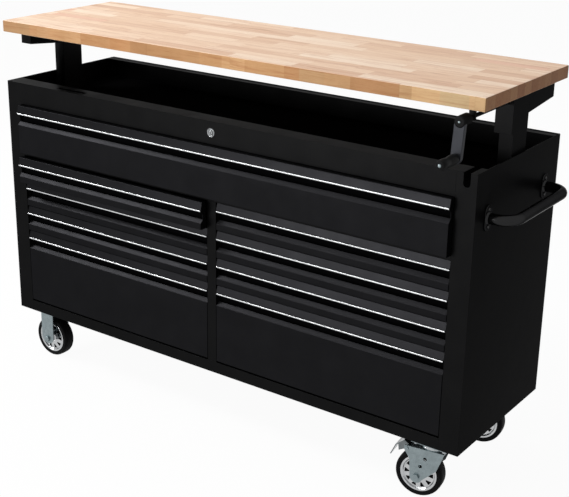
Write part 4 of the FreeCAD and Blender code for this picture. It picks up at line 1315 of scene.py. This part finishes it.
@dataclass
class Screws:
    """Caster bolts and handle screws."""

    bench: Bench
    plate_bottom: float = -3.0
    corners: tuple[Pair, ...] = ((90.0, 56.0), (90.0, 404.0), (1467.0, 39.0), (1467.0, 385.0))
    bolt_spread: Pair = (40.0, 28.0)
    handle_z: float = 606.0
    handle_y: Pair = (66.0, 384.0)
    screw_spread: float = 21.0
    flange_face: float = 1552.0
    washer: Profile = ((5.6, -1.2), (6.0, -0.8), (6.0, 0.0))
    dome: Profile = ((4.5, 0.0), (4.5, 0.8), (4.1, 1.6), (3.2, 2.2), (1.8, 2.5))
    recess: Pair = (2.2, 0.4)
    recess_depth: Pair = (1.2, 3.2)
    bolt_radius: float = 6.0
    bolt_faces: Pair = (-5.0, -0.8)

    def build(self) -> None:
        """Make one bolt and one screw, and copy them to their places."""
        across, along = self.bolt_spread
        bolts = [
            (x + a, y + b, self.plate_bottom)
            for x, y in self.corners for a in (-across, across) for b in (-along, along)
        ]
        screws = [
            (self.flange_face, y, self.handle_z + rise)
            for y in self.handle_y for rise in (-self.screw_spread, self.screw_spread)
        ]
        for model, places, name, special in (
            (self._bolt(), bolts, "caster_bolts", None),
            (self._screw(), screws, "handle_screws", Special.SCREW),
        ):
            heads = join([copy(model, Matrix.Translation(place)) for place in places])
            bpy.data.objects.remove(model)
            self.bench.deliver(
                heads, name, "cabinet", Slot.STEEL, ("screws",), smooth=30, special=special,
            )

    def _bolt(self) -> Piece:
        """Hexagon head with a chamfered crown under a flange, pointing down.

        Returns:
            The head.
        """
        angles = [corner * math.pi / 3 for corner in range(6)]
        outline = [(self.bolt_radius * math.cos(a), self.bolt_radius * math.sin(a)) for a in angles]
        head = plate(outline, Axis.Z, *self.bolt_faces, edge=0.6)
        return join([head, lathe(self.washer, Axis.Z, steps=24)])

    def _screw(self) -> Piece:
        """Domed head with a cross recess.

        Returns:
            The head.
        """
        dome = lathe(self.dome, Axis.X, steps=28)
        for u, v in (self.recess, self.recess[::-1]):
            cut(dome, [plate(rectangle((-u, -v), (u, v)), Axis.X, *self.recess_depth, edge=0)])
        return dome


@dataclass
class Lift:
    """Raised worktop with its arms, columns, gear heads, shafts and screws."""

    bench: Bench

    def build(self) -> None:
        """Dress everything that the crank raises."""
        dress = self.bench.dress_node
        dress("worktop", "lift", Slot.WOOD, 0.05, 1, "butcher_block", smooth=45)
        dress("lift_frame", "lift", Slot.BODY, 0.7, name="support_arms")
        dress("inner_columns", "lift", Slot.BODY, 1.0, 3, "lift_columns")
        for node, body in (
            ("cross_shaft", "cross_rod"), ("lead_screw_left", "screw_left"),
            ("lead_screw_right", "screw_right"),
        ):
            dress(node, body, Slot.STEEL, 0.25, 1)


@dataclass
class Crank:
    """Hand crank: hub, forged lever, screw, pin and turning grip."""

    bench: Bench
    hub_place: Pair = (1522.0, 857.0)
    pin_place: Pair = (1517.0, 772.0)
    shaft_front: float = -19.0
    lever_radius: float = 13.5
    lever_faces: Pair = (-56.8, -45.0)
    hub: Profile = (
        (5.0, -20.0), (13.4, -20.0), (14.5, -21.2), (14.5, -44.0), (14.0, -47.0), (14.2, -55.0),
        (13.0, -57.6), (11.0, -58.0), (2.0, -58.0),
    )
    screw: Profile = ((2.9, -57.5), (2.9, -59.2), (2.3, -60.1), (1.2, -60.5))
    pin: Profile = ((4.0, -45.0), (4.0, -129.0), (4.3, -129.0), (4.3, -130.0), (3.4, -131.3), (1.8, -132.0))
    grip: Profile = (
        (4.2, -128.5), (9.4, -128.5), (10.8, -127.6), (11.6, -124.5), (12.6, -120.0), (13.0, -115.0),
        (12.4, -107.0), (11.3, -97.0), (11.0, -93.5), (11.3, -90.0), (12.4, -80.0), (13.0, -72.0),
        (12.7, -66.0), (11.9, -61.5), (10.6, -59.1), (9.0, -58.5), (4.2, -58.5),
    )

    def build(self) -> None:
        """Make the crank and its grip."""
        (x, z), (end_x, end_z) = self.hub_place, self.pin_place
        at_hub, at_pin = (x, 0, z), (end_x, 0, end_z)
        hub = join([self._shaft(), lathe(self.hub, Axis.Y, at_hub, 44, closed=True)])
        lean = math.atan2(end_x - x, z - end_z)
        outline = capsule(self.hub_place, self.pin_place, self.lever_radius, 12, lean)
        lever = plate(outline, Axis.Y, *self.lever_faces, edge=1.8, edge_steps=4)
        screw = lathe(self.screw, Axis.Y, at_hub, 24)
        bolts = join([screw, lathe(self.pin, Axis.Y, at_pin, 32)])
        grip = lathe(self.grip, Axis.Y, at_pin, closed=True)
        self.bench.deliver(hub, "crank_hub", "crank_arm", Slot.BODY, ("crank",), smooth=40)
        self.bench.deliver(lever, "crank_lever", "crank_arm", Slot.DARK, ("crank",), smooth=40)
        self.bench.deliver(bolts, "crank_bolts", "crank_arm", Slot.ZINC)
        self.bench.deliver(grip, "crank_handgrip", "grip", Slot.GRIP, ("crank_grip",), smooth=50)

    def _shaft(self) -> Piece:
        """Imported crank without all that is in front of its hub.

        Returns:
            The shaft.
        """
        shaft = self.bench.softened_node("crank", 0.3, 1)
        edit(shaft)
        bpy.ops.mesh.bisect(
            plane_co=(0, self.shaft_front, 0), plane_no=(0, -1, 0), clear_outer=True, use_fill=True,
        )
        bpy.ops.object.mode_set(mode="OBJECT")
        return shaft


@dataclass
class Wheels:
    """Four wheels with windowed centres, and their tyres."""

    bench: Bench
    axle_z: float = -96.5
    # Name, place and turn. The right wheels trail their kingpins by 35 mm, turned by 8 degrees.
    places: tuple[tuple[str, float, float, float], ...] = (
        ("front_left", 90.0, 56.0, 0.0),
        ("rear_left", 90.0, 404.0, 0.0),
        ("front_right", 1467.0 - 34.6594, 39.0 - 4.8711, 8.0),
        ("rear_right", 1467.0 - 34.6594, 385.0 - 4.8711, 8.0),
    )
    windows: int = 10
    window: Profile = ((25.5, -1.6), (39.0, -6.6), (39.0, 6.6), (25.5, 1.6))
    window_depth: Pair = (-24.0, 24.0)
    window_corner: float = 1.4
    hub: Profile = (
        (6.05, 31.5), (13.0, 31.5), (14.0, 30.5), (14.0, 17.5), (15.6, 15.8), (22.0, 14.6), (27.0, 15.2),
        (38.5, 13.0), (41.6, 13.6), (43.4, 16.4), (44.6, 17.6), (47.0, 18.0), (49.2, 17.6), (50.0, 16.8),
    )
    # Black disc in the wheel's middle plane: painted shade behind the windows.
    core: Profile = ((12.0, -8.0), (45.0, -8.0), (45.0, 8.0), (12.0, 8.0))
    tyre: Profile = (
        (50.0, 17.4), (50.4, 18.4), (51.6, 18.9), (53.4, 18.4), (54.4, 18.4), (56.2, 19.0), (58.6, 18.9),
        (60.4, 18.0), (61.8, 16.4), (62.7, 14.0), (63.1, 11.4), (62.7, 11.0), (62.7, 10.4), (63.2, 10.0),
        (63.4, 6.0), (63.5, 2.0),
    )

    def build(self) -> None:
        """Model one wheel and one tyre, and copy them to the four casters."""
        models = (
            (self._hub(), "wheel_centre", Slot.WHEEL, "wheel_hub", 35),
            (lathe(both_sides(self.tyre), Axis.Y, steps=96, closed=True), "tyre_tread", Slot.TYRE,
             "tyre", 35),
            # black disc of painted shade, seen through the windows
            (lathe(self.core, Axis.Y, closed=True), "wheel_core", Slot.GRIP, None, 38),
        )
        for name, x, y, yaw in self.places:
            place = Matrix.Translation((x, y, self.axle_z)) @ Matrix.Rotation(math.radians(yaw), 4, "Z")
            for model, label, slot, node, smooth in models:
                replaced = (f"{node}_{name}",) if node else ()
                piece = copy(model, place)
                self.bench.deliver(piece, f"{label}_{name}", f"wheel_{name}", slot, replaced, smooth)
        for model, *_ in models:
            bpy.data.objects.remove(model)

    def _hub(self) -> Piece:
        """Stamped centre: barrel, dished disc with windows, and a rolled rim.

        Returns:
            The centre.
        """
        hub = lathe(both_sides(self.hub), Axis.Y, steps=80, closed=True)
        cutters = []
        for index in range(self.windows):
            cutter = plate(
                self.window, Axis.Y, *self.window_depth, corner=self.window_corner, edge=0, corner_steps=3,
            )
            cutter.data.transform(Matrix.Rotation(2 * math.pi * index / self.windows, 4, "Y"))
            cutters.append(cutter)
        cut(hub, cutters)
        soften(hub, 0.5, 2, 50.0)
        return hub


@dataclass
class Casters:
    """Mounts, forks, races and brake pedals."""

    bench: Bench
    axle_z: float = -96.5
    swivels: tuple[tuple[str, float, float], ...] = (("front", 1467.0, 39.0), ("rear", 1467.0, 385.0))
    cup: Profile = (
        (20.0, 93.4), (36.6, 93.4), (36.6, 91.0), (35.4, 90.2), (36.3, 89.2), (36.3, 87.6), (34.8, 86.4),
        (33.0, 85.6), (20.0, 85.6),
    )

    def build(self) -> None:
        """Make the fixed mounts, and the swivelling forks with their pedals and ball-race cups."""
        dress = self.bench.dress_node
        dress("caster_mounts", "cabinet", Slot.ZINC, 0.7)
        cup = lathe(self.cup, Axis.Z, steps=56, closed=True)
        for name, x, y in self.swivels:
            dress(f"swivel_fork_{name}", f"swivel_{name}", Slot.ZINC, 0.6)
            dress(f"brake_pedal_{name}", f"pedal_{name}", Slot.ZINC, 0.5, special=Special.PEDAL)
            race = copy(cup, Matrix.Translation((x, y, self.axle_z)))
            self.bench.deliver(race, f"ball_race_{name}", "cabinet", Slot.WHEEL)
        bpy.data.objects.remove(cup)


class Studio:
    """Floor, backdrop, lamps, world and the camera."""

    camera_place = Vector((1.88355, -2.5531, 1.6760))
    azimuth = 0.6256
    elevation = 0.3442
    roll = 0.0129
    focal_pixels = 1202.13
    principal = (269.4, 232.7)
    frame = (569.0, 497.0)
    sensor = 36.0
    floor_size = 24.0
    floor_drop = 0.0005
    floor_white = 0.95
    floor_tones = ((0.0, (0.92, 0.92, 0.92)), (1.0, (0.95, 0.95, 0.95)))
    world_light = 0.36
    lamps = (
        ("key", (-3.9, -1.75, 4.0), (0.0, -0.2, 0.6), (1.5, 1.3), 150.0),
        ("fill", (-1.75, -2.2, 4.4), (0.3, -0.2, 0.6), (0.8, 0.8), 24.0),
        ("top", (-0.8, 0.2, 4.3), (0.0, 0.0, 0.6), (3.2, 1.4), 27.0),
        ("front", (-1.9, -4.8, 1.05), (0.3, 0.0, 0.75), (2.1, 1.1), 120.0),
    )

    def build(self) -> None:
        """Set up everything round the object."""
        self._camera()
        self._floor()
        self._world()
        self._lamps()
        bpy.context.scene.view_settings.view_transform = "Standard"

    @staticmethod
    def _show(name: str, data: bpy.types.ID) -> Piece:
        """New object of the scene.

        Args:
            name: Its name.
            data: Its camera or lamp.

        Returns:
            The object.
        """
        thing = bpy.data.objects.new(name, data)
        bpy.context.scene.collection.objects.link(thing)
        return thing

    @staticmethod
    def _seen(graph: Graph) -> Socket:
        """Mask of the rays that see the backdrop itself: camera, gloss and transmission.

        Args:
            graph: Graph of the backdrop.

        Returns:
            The mask.
        """
        path = graph.add("LightPath").outputs
        seen = graph.maths("MAXIMUM", path["Is Camera Ray"], path["Is Glossy Ray"])
        return graph.maths("MAXIMUM", seen, path["Is Transmission Ray"])

    def _camera(self) -> None:
        """Camera at the photograph's place, with its small shift."""
        data = bpy.data.cameras.new("camera")
        camera = self._show("camera", data)
        back = Vector((
            math.sin(self.azimuth) * math.cos(self.elevation),
            -math.cos(self.azimuth) * math.cos(self.elevation),
            math.sin(self.elevation),
        ))
        right = (-back).cross(Vector((0, 0, 1))).normalized()
        up = right.cross(-back)
        cosine, sine = math.cos(self.roll), math.sin(self.roll)
        turn = Matrix((right * cosine + up * sine, up * cosine - right * sine, back)).transposed().to_4x4()
        camera.matrix_world = Matrix.Translation(self.camera_place) @ turn
        width, height = self.frame
        data.sensor_width = self.sensor
        data.lens = self.focal_pixels / width * self.sensor
        data.shift_x = (width / 2 - self.principal[0]) / width
        data.shift_y = (self.principal[1] - height / 2) / width
        data.clip_end = 60.0
        bpy.context.scene.camera = camera

    def _floor(self) -> None:
        """Pale floor that keeps the object's shadow."""
        clear()
        bpy.ops.mesh.primitive_plane_add(size=self.floor_size, location=(0, 0, -self.floor_drop))
        floor = bpy.context.object
        floor.name = "studio_floor"
        graph = Surface("studio_floor")
        tone = graph.ramp(graph.noise(Vector=graph.place(), Scale=3.0, Detail=3.0), self.floor_tones)
        graph.feed(graph.shader, Base_Color=tone, Roughness=0.9, Specular_IOR_Level=0.0)
        white = graph.add("Emission", Color=EVEN, Strength=1.0)
        seen = graph.maths("MULTIPLY", self._seen(graph), self.floor_white)
        mix = graph.add("MixShader", in0=seen, in1=graph.shader.outputs[0], in2=white.outputs[0])
        graph.feed(graph.out, Surface=mix.outputs[0])
        floor.data.materials.append(graph.material)

    def _world(self) -> None:
        """White for the camera and for gloss, plainer light for the rest."""
        world = bpy.data.worlds.new("studio")
        bpy.context.scene.world = world
        world.use_nodes = True
        graph = Graph(world.node_tree)
        soft = graph.add("Background", Color=EVEN, Strength=self.world_light)
        white = graph.add("Background", Color=EVEN, Strength=1.0)
        mix = graph.add("MixShader", in0=self._seen(graph), in1=soft.outputs[0], in2=white.outputs[0])
        graph.add("OutputWorld", Surface=mix.outputs[0])

    def _lamps(self) -> None:
        """Soft boxes above, in front and at the left."""
        for name, place, target, size, power in self.lamps:
            data = bpy.data.lights.new(name, "AREA")
            data.shape = "RECTANGLE"
            data.size, data.size_y = size
            data.energy = power
            lamp = self._show(name, data)
            lamp.location = place
            lamp.rotation_euler = (Vector(target) - Vector(place)).to_track_quat("-Z", "Y").to_euler()


def main() -> None:
    """Build the chest piece by piece, then the studio."""
    logging.basicConfig(level=logging.INFO, format="%(name)s %(message)s")
    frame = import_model()
    bench = Bench(Finishes(), frame["nodes"])
    for assembly in (Cabinet, Drawers, Lock, SideHandle, Screws, Lift, Crank, Wheels, Casters):
        LOG.info("building %s", assembly.__name__)
        assembly(bench).build()
    Studio().build()


if __name__ == "__main__":
    main()
